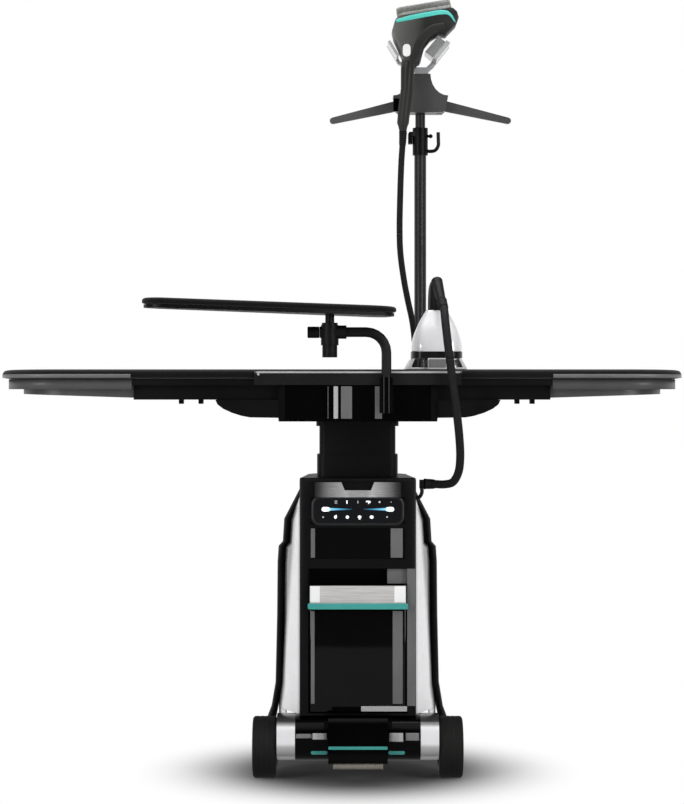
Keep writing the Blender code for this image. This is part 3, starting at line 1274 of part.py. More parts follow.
iron_trigger = block("iron_trigger", (IRON_X - TRIGGER_HALF[0], trigger_y - TRIGGER_HALF[1],
                                      trigger_low),
                     (IRON_X + TRIGGER_HALF[0], trigger_y + TRIGGER_HALF[1], trigger_high),
                     "dark_grey")
cut(iron_handle, block("handle_foot_cut", (IRON_X - IRON_HALF_WIDTH, IRON_HEEL, body_low),
                       (IRON_X + IRON_HALF_WIDTH, IRON_NOSE, grip_low)),
    block("trigger_slot", (IRON_X - TRIGGER_HALF[0] - SEAT_GAP,
                           trigger_y - TRIGGER_HALF[1] - SEAT_GAP, trigger_low - OVERRUN),
          (IRON_X + TRIGGER_HALF[0] + SEAT_GAP, trigger_y + TRIGGER_HALF[1] + SEAT_GAP,
           trigger_high + TRIGGER_TRAVEL + SEAT_GAP)))

# Iron hose: from the iron's guard over the board's front edge to the elbow on the base
ELBOW_Y = -0.135
ELBOW_Z = 0.564
ELBOW_START = 0.117
ELBOW_END = 0.126
ELBOW_NECK = 0.0036
ELBOW_ENTRY_Z = 0.5375
iron_hose_places = [
    tuple(guard_end + guard_run * SEAT_GAP), tuple(guard_end + guard_run * HOSE_STUB),
    (0.1618, -0.1880, 0.893), (0.1632, -0.2060, 0.872), (0.1662, -0.2215, 0.838),
    (0.1703, -0.2310, 0.802), (0.1743, -0.2325, 0.768), (0.1798, -0.2320, 0.728),
    (0.1850, -0.2285, 0.688), (0.1890, -0.2220, 0.650), (0.1908, -0.2120, 0.618),
    (0.1885, -0.1990, 0.590), (0.1790, -0.1840, 0.570), (0.1640, -0.1640, 0.5645),
    (0.1480, -0.1450, 0.564), (ELBOW_END + HOSE_STUB, ELBOW_Y, ELBOW_Z),
    (ELBOW_END + SEAT_GAP, ELBOW_Y, ELBOW_Z)]
iron_hose_route, iron_hose_length = hose_route(iron_hose_places, 23)
bent_tube("iron_hose", iron_hose_route, IRON_HOSE_RADIUS, "rubber")

ELBOW_share = 1.05
# the neck's S-bend, as its places in (X, Z)
ELBOW_NECK_LINE = [(0.1215, 0.5560), (0.1221, 0.5490), (0.1193, 0.5415), (0.1153, 0.5380)]
elbow = rod("elbow_join", (ELBOW_START, ELBOW_Y, ELBOW_Z), (ELBOW_END, ELBOW_Y, ELBOW_Z),
            IRON_HOSE_RADIUS * ELBOW_share, sides=SMALL_SIDES)
neck_places = [((ELBOW_START + ELBOW_END) / 2, ELBOW_Y, ELBOW_Z)]
neck_places += [(x, ELBOW_Y, z) for x, z in ELBOW_NECK_LINE]
neck_places += [(FRONT_HALF_WIDTH - ELBOW_NECK / 2, ELBOW_Y, ELBOW_ENTRY_Z)]
neck_route, neck_length = smooth_route(neck_places, 12)
weld(front_frame, elbow, as_mesh(bent_tube("elbow_neck_join", neck_route, ELBOW_NECK)))

# Garment pole: a fixed tube in the cradle's cup and a telescopic tube through a clamp collar
POLE_WALL = 0.0015
POLE_LOW_TOP = 1.2550
POLE_UPPER_RADIUS = 0.0102
POLE_UPPER_WALL = 0.0015
POLE_UPPER_LOW = 0.920
POLE_UPPER_TOP = 1.3450
COLLAR_LOW = 1.2270
COLLAR_HIGH = 1.2830
COLLAR_RADIUS = 0.0158
pole_bottom = POLE_CUP_LOW + POLE_CUP_FLOOR + SEAT_GAP


def pole_tube(name, low, high, radius, wall):
    return turned(name, [(radius - wall, high), (radius, high), (radius, low), (radius - wall, low)],
                  (POLE_X, POLE_Y, 0), "Z", "dark_grey", ROUND_SIDES, closed=True)


pole_tube("pole_lower", pole_bottom, POLE_LOW_TOP, POLE_RADIUS, POLE_WALL)
pole_tube("pole_upper", POLE_UPPER_LOW, POLE_UPPER_TOP, POLE_UPPER_RADIUS, POLE_UPPER_WALL)
pole_collar = rod("pole_collar", (POLE_X, POLE_Y, COLLAR_LOW), (POLE_X, POLE_Y, COLLAR_HIGH),
                  COLLAR_RADIUS, "satin_black")

# Hook and peg on the collar for the steamer's hose
HOOK_RADIUS = 0.0037
HOOK_REACH = 0.0375
HOOK_LOW = 1.2350
HOOK_HIGH = 1.2745
PEG_Z = 1.2664
PEG_REACH = 0.0215
PEG_RADIUS = 0.0028
PEG_BALL = 0.0044
HOOK_LIFT = 0.0015
HOOK_BEND_shares = (0.5, 0.18)
hook_bend = HOOK_REACH / 3
hook_route, hook_length = smooth_route(
    [(POLE_X + COLLAR_RADIUS - HOOK_RADIUS, POLE_Y, HOOK_LOW + HOOK_LIFT),
     (POLE_X + COLLAR_RADIUS + HOOK_RADIUS, POLE_Y, HOOK_LOW),
     (POLE_X + HOOK_REACH - hook_bend * HOOK_BEND_shares[0], POLE_Y,
      HOOK_LOW + hook_bend * HOOK_BEND_shares[1]),
     (POLE_X + HOOK_REACH, POLE_Y, HOOK_LOW + hook_bend),
     (POLE_X + HOOK_REACH, POLE_Y, (HOOK_LOW + HOOK_HIGH) / 2),
     (POLE_X + HOOK_REACH - HOOK_RADIUS / 8, POLE_Y, HOOK_HIGH)], 14)
weld(pole_collar, as_mesh(bent_tube("hook_join", hook_route, HOOK_RADIUS)),
     rod("peg_join", (POLE_X + COLLAR_RADIUS - HOOK_RADIUS, POLE_Y, PEG_Z),
         (POLE_X + PEG_REACH, POLE_Y, PEG_Z), PEG_RADIUS, sides=12),
     ball("peg_ball_join", (POLE_X + PEG_REACH, POLE_Y, PEG_Z), PEG_BALL))
LEVER_LOW = 1.2500
LEVER_THICKNESS = 0.0090
LEVER_HALF_DEPTH = 0.0080
LEVER_EAR = 0.0035
LEVER_PIN_RADIUS = 0.0022
LEVER_PIN_Z = 1.2700
lever_x = POLE_X - COLLAR_RADIUS - SEAT_GAP - LEVER_THICKNESS / 2
lever_round = LEVER_THICKNESS / 2
lever_outline = [(lever_x - lever_round, LEVER_LOW), (lever_x + lever_round, LEVER_LOW)]
lever_outline += [(lever_x + lever_round * math.cos(math.radians(angle)),
                   LEVER_PIN_Z + lever_round * math.sin(math.radians(angle)))
                  for angle in range(0, 181, 30)]
collar_lever = prism("collar_lever", [lever_outline], "Y", POLE_Y - LEVER_HALF_DEPTH,
                     POLE_Y + LEVER_HALF_DEPTH, "dark_grey")
lever_reach = LEVER_HALF_DEPTH + SEAT_GAP + LEVER_EAR
cut(collar_lever, rod("lever_pin_hole", (lever_x, POLE_Y - lever_reach, LEVER_PIN_Z),
                      (lever_x, POLE_Y + lever_reach, LEVER_PIN_Z), LEVER_PIN_RADIUS + SEAT_GAP,
                      sides=12))
set_origin(collar_lever, (lever_x, POLE_Y, LEVER_PIN_Z))
for side, side_name in ((-1, "front"), (1, "back")):
    low, high = sorted((POLE_Y + side * (LEVER_HALF_DEPTH + SEAT_GAP), POLE_Y + side * lever_reach))
    weld(pole_collar, block("lever_ear_" + side_name,
                            (lever_x - lever_round / 2, low, LEVER_PIN_Z - lever_round),
                            (POLE_X - COLLAR_RADIUS / 3, high, LEVER_PIN_Z + lever_round)))
weld(pole_collar, rod("lever_pin_join", (lever_x, POLE_Y - lever_reach + SEAT_GAP, LEVER_PIN_Z),
                      (lever_x, POLE_Y + lever_reach - SEAT_GAP, LEVER_PIN_Z), LEVER_PIN_RADIUS,
                      sides=12))
cut(pole_collar, rod("collar_lower_bore", (POLE_X, POLE_Y, COLLAR_LOW - OVERRUN),
                     (POLE_X, POLE_Y, POLE_LOW_TOP + SEAT_GAP), POLE_RADIUS + SEAT_GAP),
    rod("collar_upper_bore", (POLE_X, POLE_Y, COLLAR_LOW), (POLE_X, POLE_Y, COLLAR_HIGH + OVERRUN),
        POLE_UPPER_RADIUS + SEAT_GAP))

# Hanger: a hub on the pole's top with two folding shoulder arms
HUB_HALF_WIDTH = 0.0565
HUB_TOP_HALF = 0.0200
HUB_LOW = 1.3125
HUB_SIDE_HIGH = 1.3470
HUB_HIGH = 1.3915
HUB_FRONT = POLE_Y - 0.030
HUB_BACK = POLE_Y + 0.020
HUB_BOTTOM_HALF = 0.0450
HANGER_PIVOT_X = 0.0440
HANGER_PIVOT_Z = 1.3290
HANGER_LENGTH = 0.140
HANGER_WIDTH = 0.022
HANGER_THICKNESS = 0.008
HANGER_DROP = math.radians(13)
HANGER_PIN = 0.003
HUB_CHAMFER = (0.005, 0.006)
HANGER_TIP_share = 0.6
hub_line = [(HUB_BOTTOM_HALF, HUB_LOW),
            (HUB_HALF_WIDTH - HUB_CHAMFER[0], HUB_LOW + HUB_CHAMFER[1]),
            (HUB_HALF_WIDTH, HUB_SIDE_HIGH)]
for step in range(1, 6):
    share = step / 6
    hub_line.append((HUB_HALF_WIDTH + (HUB_TOP_HALF - HUB_HALF_WIDTH) * math.sin(share * math.pi / 2),
                     HUB_SIDE_HIGH + (HUB_HIGH - HUB_SIDE_HIGH) * (1 - math.cos(share * math.pi / 2))))
hub_line.append((HUB_TOP_HALF, HUB_HIGH))
hub_outline = [(POLE_X + x, z) for x, z in hub_line]
hub_outline += [(POLE_X - x, z) for x, z in reversed(hub_line)]
hanger_hub = prism("hanger_hub", [hub_outline], "Y", HUB_FRONT, HUB_BACK, "dark_grey")
slot_half = HANGER_THICKNESS / 2 + SEAT_GAP
slot_y = (HUB_FRONT + HUB_BACK) / 2
arm_round = HANGER_WIDTH / 2
slot_inner = HANGER_PIVOT_X - arm_round - RUN_GAP
for side, side_name in ((-1, "left"), (1, "right")):
    low, high = sorted((POLE_X + side * slot_inner, POLE_X + side * (HUB_HALF_WIDTH + OVERRUN)))
    cut(hanger_hub, block("hanger_slot_" + side_name, (low, slot_y - slot_half, HUB_LOW - OVERRUN),
                          (high, slot_y + slot_half, HANGER_PIVOT_Z + arm_round + RUN_GAP * 2)))
cut(hanger_hub, rod("hub_bore", (POLE_X, POLE_Y, HUB_LOW - OVERRUN),
                    (POLE_X, POLE_Y, POLE_UPPER_TOP + SEAT_GAP), POLE_UPPER_RADIUS + SEAT_GAP))
for side, side_name in ((-1, "left"), (1, "right")):
    pivot = Vector((POLE_X + side * HANGER_PIVOT_X, slot_y, HANGER_PIVOT_Z))
    weld(hanger_hub, rod("hanger_pin_" + side_name, pivot - Vector((0, slot_half + OVERRUN, 0)),
                         pivot + Vector((0, slot_half + OVERRUN, 0)), HANGER_PIN, sides=12))
    run = Vector((math.cos(HANGER_DROP), -math.sin(HANGER_DROP)))
    across = Vector((-run.y, run.x))
    outline = []
    for centre, radius, start in ((Vector((0, 0)), arm_round, 90),
                                  (run * HANGER_LENGTH, arm_round * HANGER_TIP_share, -90)):
        for step in range(7):
            angle = math.radians(start + 180 * step / 6)
            spot = centre + run * math.cos(angle) * radius + across * math.sin(angle) * radius
            outline.append((side * spot.x, spot.y))
    if side < 0:
        outline.reverse()
    hanger_arm = prism("hanger_arm_" + side_name,
                       [[(pivot.x + x, pivot.z + z) for x, z in outline]], "Y",
                       slot_y - HANGER_THICKNESS / 2, slot_y + HANGER_THICKNESS / 2, "satin_black")
    cut(hanger_arm, rod("hanger_arm_hole_" + side_name, pivot - Vector((0, slot_half, 0)),
                        pivot + Vector((0, slot_half, 0)), HANGER_PIN + SEAT_GAP, sides=12))
    set_origin(hanger_arm, pivot)

# Steamer cradle: a V fork on the hub whose prongs reach forward on both sides of the neck
FORK_FOOT_HALF = 0.0125
FORK_FRONT = 0.150
FORK_PLATE_FRONT = 0.2135
FORK_PLATE_BACK = 0.2330
PRONG_WIDTH = 0.0065
BROAD_PRONG_share = 1.6
# tip, bend and root of the two prongs, in (X, Z)
FORK_LEFT = [(0.0650, 1.4500), (0.0870, 1.4140), (0.1250, 1.3975)]
FORK_RIGHT = [(0.1862, 1.4490), (0.1535, 1.4075), (0.1440, 1.3990)]
# foot and tip of the ribbed pad on the right prong's inner side
FORK_PAD = [(0.1462, 1.4213), (0.1728, 1.4532)]
FORK_PAD_WIDTH = 0.020
PRONG_REACH_share = 0.85
PRONG_START_share = 0.0161
PRONG_WIDTH_share = 0.9
fork_low = HUB_HIGH + SEAT_GAP


def strip_outline(start, end, width):
    """A straight strip of a width with its centre line between two points, in (X, Z)."""
    start, end = Vector(start), Vector(end)
    across = (end - start).orthogonal().normalized() * width / 2
    return [tuple(start - across), tuple(end - across), tuple(end + across), tuple(start + across)]


def counter_clockwise(outline):
    area = sum(a[0] * b[1] - b[0] * a[1] for a, b in zip(outline, outline[1:] + outline[:1]))
    return outline if area > 0 else list(reversed(outline))


steamer_cradle = block("steamer_cradle", (POLE_X - FORK_FOOT_HALF, FORK_PLATE_FRONT, fork_low),
                       (POLE_X + FORK_FOOT_HALF + PRONG_WIDTH / 2, FORK_PLATE_BACK,
                        fork_low + PRONG_WIDTH * 2), "white")
for side_name, places, width in (("left", FORK_LEFT, PRONG_WIDTH),
                                 ("right", FORK_RIGHT, PRONG_WIDTH * BROAD_PRONG_share)):
    tip, bend, root = (Vector(place) for place in places)
    past_bend = bend + (bend - tip).normalized() * width / 3
    weld(steamer_cradle,
         prism("fork_arm_" + side_name, [counter_clockwise(strip_outline(tip, past_bend, width))],
               "Y", FORK_PLATE_FRONT + SEAT_GAP, FORK_PLATE_BACK - SEAT_GAP),
         prism("fork_root_" + side_name, [counter_clockwise(strip_outline(bend, root, width))],
               "Y", FORK_PLATE_FRONT + SEAT_GAP * 2, FORK_PLATE_BACK - SEAT_GAP * 2),
         prism("fork_prong_" + side_name,
               [counter_clockwise(strip_outline(tip.lerp(bend, PRONG_REACH_share),
                                                tip.lerp(bend, PRONG_START_share),
                                                width * PRONG_WIDTH_share))],
               "Y", FORK_FRONT, (FORK_PLATE_FRONT + FORK_PLATE_BACK) / 2))

weld(steamer_cradle, prism("fork_pad_join",
                           [counter_clockwise(strip_outline(*FORK_PAD, FORK_PAD_WIDTH))], "Y",
                           FORK_FRONT + SEAT_GAP, FORK_PLATE_FRONT + SEAT_GAP * 3))

# Hand steamer: head and handle in one shell, a bristle brush, a steam button
STEAMER_Y = 0.172
HEAD_HALF_DEPTH = 0.030
HANDLE_HALF_DEPTH = 0.0165
BRUSH_START = (0.0830, 1.4985)
BRUSH_END = (0.1925, 1.5165)
BRUSH_HALF_DEPTH = 0.0265
brush_run = (Vector(BRUSH_END) - Vector(BRUSH_START)).normalized()
brush_rise = Vector((-brush_run.y, brush_run.x))
head_top_left = Vector(BRUSH_START) - brush_run * OVERRUN - brush_rise * SEAT_GAP
head_top_right = Vector(BRUSH_END) + brush_run * OVERRUN / 2 - brush_rise * SEAT_GAP
# the head's outline in (X, Z), and the handle's middle line with its half thickness
head_outline = [tuple(head_top_left), (0.0713, 1.4705), (0.0747, 1.4542), (0.0912, 1.4188),
                (0.0945, 1.4090), (0.1284, 1.4028), (0.1322, 1.4196), (0.1372, 1.4381),
                (0.1490, 1.4530), (0.1660, 1.4634), (0.1799, 1.4604), (0.2009, 1.4819),
                (0.2065, 1.4970), (0.2030, 1.5090), tuple(head_top_right)]
handle_line = [(0.1080, 1.4300, 0.0155), (0.1035, 1.3950, 0.0145), (0.1020, 1.3550, 0.0130),
               (0.0965, 1.3100, 0.0130), (0.0940, 1.2850, 0.0126), (0.0940, 1.2790, 0.0100),
               (0.0940, 1.2690, 0.0075)]
steamer_body = prism("steamer_body", [counter_clockwise(head_outline)], "Y",
                     STEAMER_Y - HEAD_HALF_DEPTH, STEAMER_Y + HEAD_HALF_DEPTH, "dark_grey")
round_edges(steamer_body, HEAD_HALF_DEPTH / 4, segments=2, angle=60)
handle_tube = as_mesh(bent_tube("steamer_handle_join",
                                [(x, STEAMER_Y, z) for x, z, radius in handle_line], 1.0, None, 3,
                                [radius for x, z, radius in handle_line]))
weld(steamer_body, handle_tube)

BUTTON_X = 0.1006
BUTTON_Z = 1.4288
BUTTON_HALF = (0.0078, 0.0125)
BUTTON_PROUD = 0.0030
BUTTON_TRAVEL = 0.0020
BUTTON_DEEP = 0.0050
head_front = STEAMER_Y - HEAD_HALF_DEPTH
BUTTON_CORNER_share = 0.9
button_corner = BUTTON_HALF[0] * BUTTON_CORNER_share
button_outline = rounded_rectangle(*BUTTON_HALF, button_corner, (BUTTON_X, BUTTON_Z))
steamer_button = prism("steamer_button", [button_outline], "Y", head_front - BUTTON_PROUD,
                       head_front + BUTTON_DEEP, "white")
cut(steamer_body, prism("button_room",
                        [rounded_rectangle(BUTTON_HALF[0] + SEAT_GAP, BUTTON_HALF[1] + SEAT_GAP,
                                           button_corner + SEAT_GAP, (BUTTON_X, BUTTON_Z))],
                        "Y", head_front - OVERRUN * 2,
                        head_front + BUTTON_DEEP + BUTTON_TRAVEL + SEAT_GAP))

# Brush: a slice of backing whose upper face carries tapered bristles on a triangular grid
BRUSH_BACKING = 0.0060
BRISTLE_LENGTH = 0.0125
BRISTLE_COLUMNS = 30
BRISTLE_ROWS = 10
BRISTLE_TIP_share = 0.35
BRISTLE_EVEN_share = 0.86
BRISTLE_SPREAD_share = 0.14
BRISTLE_SPREAD_STEP = 2.4


def bristle_brush(name):
    """A triangular grid of points; each upright triangle of it rises as one bristle."""
    start, run = Vector(BRUSH_START), brush_run
    length = (Vector(BRUSH_END) - start).length
    step_u = length * 2 / (BRISTLE_COLUMNS * 2 + 1)
    step_v = BRUSH_HALF_DEPTH * 2 / BRISTLE_ROWS
    work = bmesh.new()
    grid = []
    for row in range(BRISTLE_ROWS + 1):
        shift = (row % 2) / 2
        grid.append([work.verts.new(((column + shift) * step_u, row * step_v - BRUSH_HALF_DEPTH, 0))
                     for column in range(BRISTLE_COLUMNS + 1)])
    roots = []
    for row in range(BRISTLE_ROWS):
        near, far = grid[row], grid[row + 1]
        for column in range(BRISTLE_COLUMNS):
            if row % 2 == 0:
                roots.append((near[column], near[column + 1], far[column]))
                work.faces.new((near[column + 1], far[column + 1], far[column]))
            else:
                roots.append((near[column], near[column + 1], far[column + 1]))
                work.faces.new((near[column], far[column + 1], far[column]))
    for number, root in enumerate(roots):
        middle = sum((vert.co for vert in root), Vector()) / 3
        rise = BRISTLE_LENGTH * (BRISTLE_EVEN_share
                                 + BRISTLE_SPREAD_share * math.sin(number * BRISTLE_SPREAD_STEP))
        tips = [work.verts.new(middle + (vert.co - middle) * BRISTLE_TIP_share + Vector((0, 0, rise)))
                for vert in root]
        for index in range(3):
            after = (index + 1) % 3
            work.faces.new((root[index], root[after], tips[after], tips[index]))
        work.faces.new(tips)
    rim = ([line for line in grid[0]] + [row[-1] for row in grid[1:]]
           + list(reversed(grid[-1][:-1])) + [row[0] for row in reversed(grid[1:-1])])
    under = [work.verts.new(vert.co - Vector((0, 0, BRUSH_BACKING))) for vert in rim]
    for index in range(len(rim)):
        after = (index + 1) % len(rim)
        work.faces.new((rim[after], rim[index], under[index], under[after]))
    work.faces.new(list(reversed(under)))
    mesh = bpy.data.meshes.new(name)
    turn = Matrix(((run.x, 0, -run.y, start.x), (0, 1, 0, STEAMER_Y), (run.y, 0, run.x, start.y),
                   (0, 0, 0, 1)))
    work.transform(turn @ Matrix.Translation((0, 0, BRUSH_BACKING)))
    work.to_mesh(mesh)
    work.free()
    return new_part(name, mesh, "bristle")


bristle_brush("steamer_brush")

# Steamer hose: down from the handle, behind the board and the column, up into its socket
upper_places = [(0.0940, STEAMER_Y, 1.2687), (0.0940, STEAMER_Y, 1.2610),
                (0.0928, STEAMER_Y, 1.2360), (0.0905, STEAMER_Y, 1.2000),
                (0.0882, STEAMER_Y, 1.1300), (0.0872, STEAMER_Y + 0.001, 1.0680),
                (0.0890, STEAMER_Y + 0.003, 1.0200), (0.0960, STEAMER_Y + 0.007, 0.9680),
                (0.1045, STEAMER_Y + 0.012, 0.9240), (0.1130, STEAMER_Y + 0.020, 0.8860),
                (0.1182, STEAMER_Y + 0.032, 0.8480), (0.1195, STEAMER_Y + 0.039, 0.8040),
                (0.1160, STEAMER_Y + 0.0440, 0.7660), (0.1040, STEAMER_Y + 0.0460, 0.7380),
                (0.0880, STEAMER_Y + 0.0450, 0.7060), (0.0700, STEAMER_Y + 0.0425, 0.6720),
                (0.0560, STEAMER_Y + 0.0410, 0.6360), (0.0470, STEAMER_Y + 0.0405, 0.5950),
                (0.0430, STEAMER_Y + 0.0400, 0.5550), (0.0420, STEAMER_Y + 0.0400, 0.5303),
                (0.0420, STEAMER_Y + 0.0400, 0.5223)]
lower_places = [(0.0420, STEAMER_Y + 0.0400, 0.5220), (0.0420, STEAMER_Y + 0.0400, 0.5140),
                (0.0414, STEAMER_Y + 0.0360, 0.4700), (0.0406, STEAMER_Y + 0.0240, 0.4200),
                (0.0400, STEAM_HOSE_Y + 0.0010, 0.3650),
                (0.0400, STEAM_HOSE_Y, 0.3000), (0.0390, STEAM_HOSE_Y, 0.2200),
                (0.0310, STEAM_HOSE_Y, 0.1720), (0.0130, STEAM_HOSE_Y, 0.1420),
                (-0.0100, STEAM_HOSE_Y, 0.1320), (-0.0330, STEAM_HOSE_Y, 0.1420),
                (-0.0510, STEAM_HOSE_Y, 0.1720), (-0.0590, STEAM_HOSE_Y, 0.2200),
                (SOCKET_X, STEAM_HOSE_Y, 0.2600), (SOCKET_X, STEAM_HOSE_Y, SOCKET_Z - HOSE_STUB),
                (SOCKET_X, STEAM_HOSE_Y, SOCKET_Z - SEAT_GAP)]
for name, places, count in (("steamer_hose_upper", upper_places, 32),
                            ("steamer_hose_lower", lower_places, 28)):
    route, length = hose_route(places, count)
    bent_tube(name, route, HOSE_RADIUS, "rubber")

# The station's place in the frame: the board's middle at X = 0, the footprint's middle at Y = 0
front_reach = -min((sleeve_frame @ Vector((x, y, 0))).y for x, y in sleeve_outline(0))
station.location = (COLUMN_OFFSET, (front_reach - HUB_BACK) / 2, 0)
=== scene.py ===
import math

import bpy
import numpy as np
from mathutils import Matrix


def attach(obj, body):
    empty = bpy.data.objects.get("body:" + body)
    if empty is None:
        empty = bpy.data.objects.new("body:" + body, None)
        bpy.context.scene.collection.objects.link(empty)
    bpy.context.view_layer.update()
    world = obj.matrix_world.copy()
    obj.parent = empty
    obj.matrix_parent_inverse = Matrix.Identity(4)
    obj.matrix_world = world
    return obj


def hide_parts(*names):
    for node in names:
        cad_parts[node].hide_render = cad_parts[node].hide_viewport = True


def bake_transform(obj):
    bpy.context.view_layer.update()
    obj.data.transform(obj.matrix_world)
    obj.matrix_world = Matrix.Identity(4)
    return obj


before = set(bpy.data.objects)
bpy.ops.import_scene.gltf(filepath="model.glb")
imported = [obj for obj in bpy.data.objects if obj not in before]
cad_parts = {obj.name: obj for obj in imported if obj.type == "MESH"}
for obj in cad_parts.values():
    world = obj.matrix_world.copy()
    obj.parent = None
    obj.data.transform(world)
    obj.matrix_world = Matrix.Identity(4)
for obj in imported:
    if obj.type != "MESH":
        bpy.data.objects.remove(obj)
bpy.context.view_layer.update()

# The view: a long lens level with the board's edge, four and a half metres before the column.
# The set is a white studio: a pale floor that keeps the wheels' soft shadow, two tall soft
# boxes in front and one overhead, at the level where a colour renders about as it is written.
EYE = (0.0, -4.4647, 0.7464)
SENSOR_WIDTH = 36.0
FOCAL_LENGTH = 120.85
HORIZON_SHIFT = -0.0205
SIGHT_END = 60.0
SOFT_BOXES = (("left_soft_box", (-2.3, -2.6, 1.3), (83, 0, -42), (0.7, 2.0), 34.0),
              ("right_soft_box", (2.3, -2.6, 1.3), (83, 0, 42), (0.7, 2.0), 34.0),
              ("top_soft_box", (0.0, 0.1, 3.2), (0, 0, 0), (2.2, 1.4), 40.0))
AMBIENT_LEVEL = 0.50
# What polished pieces mirror by the way a ray goes: bright low down behind, bright high up in
# front, dim elsewhere. A row is an axis, where its level starts and ends to change, and both
# levels. The rows are multiplied two by two, and the brighter product counts.
MIRRORED_ROOM = (("Y", -0.25, 0.60, 0.05, 1.0), ("Z", 0.10, 0.45, 1.0, 0.12),
                 ("Z", 0.45, 0.80, 0.0, 1.2), ("Y", 0.05, 0.30, 1.0, 0.12))
FLOOR_HALF = 15.0
# the painted shadow in the floor's paint: its middle, half sizes, the share kept darkest, its grey
SHADOW_MIDDLE = (0.03, 0.027)
SHADOW_HALF = (0.45, 0.49)
SHADOW_CORE_SHARE = 0.36
SHADOW_GREY, FLOOR_PALE = "#7e7e7e", "#f4f4f4"
NEAR_FLOOR_Y, FAR_FLOOR_Y = 0.30, 0.80
NEAR_FLOOR_MIRRORED = 0.30


def linear(code):
    """sRGB hex to linear RGBA: a channel c is c/12.92 up to 0.04045, else ((c+0.055)/1.055)^2.4."""
    channels = [int(code[place:place + 2], 16) / 255 for place in (1, 3, 5)]
    return [c / 12.92 if c <= 0.04045 else ((c + 0.055) / 1.055) ** 2.4 for c in channels] + [1.0]


def fill(made, inputs):
    """Fills a node's sockets: a plain value is set, and a socket, or the first working output of
    another node, is linked."""
    for key, value in inputs.items():
        if isinstance(value, bpy.types.Node):
            value = next(socket for socket in value.outputs if socket.enabled)
        if isinstance(value, bpy.types.NodeSocket):
            made.id_data.links.new(value, made.inputs[key])
        else:
            made.inputs[key].default_value = value


def node(tree, kind, inputs=None, **settings):
    """Adds one node with its own settings, and fills its sockets."""
    made = tree.nodes.new(kind)
    for key, value in settings.items():
        setattr(made, key, value)
    fill(made, inputs or {})
    return made


def by_ray(tree, lit, seen, mirrored, share=None):
    """The lit shader, but camera and clear rays find the seen one, by the share where one is
    given, and glossy rays the mirrored one."""
    path = node(tree, "ShaderNodeLightPath")
    clear = node(tree, "ShaderNodeMath", {0: path.outputs["Is Camera Ray"],
                                          1: path.outputs["Is Transmission Ray"]},
                 operation="MAXIMUM")
    if share is not None:
        clear = node(tree, "ShaderNodeMath", {0: share, 1: clear}, operation="MULTIPLY")
    mix = node(tree, "ShaderNodeMixShader", {0: clear, 1: lit, 2: seen})
    return node(tree, "ShaderNodeMixShader", {0: path.outputs["Is Glossy Ray"], 1: mix,
                                              2: mirrored})


def new_object(name, data):
    """A new object of that data in the scene."""
    made = bpy.data.objects.new(name, data)
    bpy.context.scene.collection.objects.link(made)
    return made


def new_material(name):
    """A new material, its node tree and its Principled shader."""
    material = bpy.data.materials.new(name)
    material.use_nodes = True
    return material, material.node_tree, material.node_tree.nodes["Principled BSDF"]


camera_data = bpy.data.cameras.new("photo_camera")
camera_data.sensor_fit = "HORIZONTAL"
camera_data.sensor_width = SENSOR_WIDTH
camera_data.lens = FOCAL_LENGTH
camera_data.shift_y = HORIZON_SHIFT
camera_data.clip_end = SIGHT_END
camera = new_object("photo_camera", camera_data)
camera.location = EYE
camera.rotation_euler = (math.pi / 2, 0, 0)
bpy.context.scene.camera = camera
bpy.context.scene.view_settings.view_transform = "Standard"
for name, place, turn, size, power in SOFT_BOXES:
    lamp_data = bpy.data.lights.new(name, "AREA")
    lamp_data.shape = "RECTANGLE"
    lamp_data.size, lamp_data.size_y = size
    lamp_data.energy = power
    lamp = new_object(name, lamp_data)
    lamp.location = place
    lamp.rotation_euler = [math.radians(angle) for angle in turn]

WHITE = linear("#ffffff")
world = bpy.data.worlds.new("studio_room")
world.use_nodes = True
tree = world.node_tree
tree.nodes.clear()
way = node(tree, "ShaderNodeSeparateXYZ",
           {0: node(tree, "ShaderNodeTexCoord").outputs["Generated"]})
levels = [node(tree, "ShaderNodeMapRange", {"Value": way.outputs[axis], "From Min": start,
                                            "From Max": end, "To Min": first, "To Max": last})
          for axis, start, end, first, last in MIRRORED_ROOM]
behind, above = [node(tree, "ShaderNodeMath", {0: one, 1: other}, operation="MULTIPLY")
                 for one, other in (levels[:2], levels[2:])]
brighter = node(tree, "ShaderNodeMath", {0: behind, 1: above}, operation="MAXIMUM")
ambient, backdrop, room = [node(tree, "ShaderNodeBackground", {"Color": WHITE, "Strength": level})
                           for level in (AMBIENT_LEVEL, 1.0, brighter)]
node(tree, "ShaderNodeOutputWorld", {"Surface": by_ray(tree, ambient, backdrop, room)})
bpy.context.scene.world = world

# painted shadow: the floor's paint darkens in an oval under the wheels; outside it the camera
# sees plain white
floor_mesh = bpy.data.meshes.new("studio_floor")
floor_mesh.from_pydata([(x * FLOOR_HALF, y * FLOOR_HALF, 0) for x, y in
                        ((-1, -1), (1, -1), (1, 1), (-1, 1))], [], [(0, 1, 2, 3)])
floor = new_object("studio_floor", floor_mesh)
floor_paint, tree = new_material("matt_white_floor_paint")[:2]
tree.nodes.clear()
coords = node(tree, "ShaderNodeTexCoord")
oval = node(tree, "ShaderNodeMapping", {
    "Vector": coords.outputs["Object"], "Scale": (1 / SHADOW_HALF[0], 1 / SHADOW_HALF[1], 0),
    "Location": (-SHADOW_MIDDLE[0] / SHADOW_HALF[0], -SHADOW_MIDDLE[1] / SHADOW_HALF[1], 0)})
reach = node(tree, "ShaderNodeVectorMath", {0: oval}, operation="LENGTH")
fade = node(tree, "ShaderNodeMapRange", {"Value": reach, "From Min": SHADOW_CORE_SHARE,
                                         "From Max": 1.0}, interpolation_type="SMOOTHSTEP")
shade = node(tree, "ShaderNodeMix", {"Factor": fade, "A": linear(SHADOW_GREY),
                                     "B": linear(FLOOR_PALE)}, data_type="RGBA")
paint = node(tree, "ShaderNodeBsdfDiffuse", {"Color": shade})
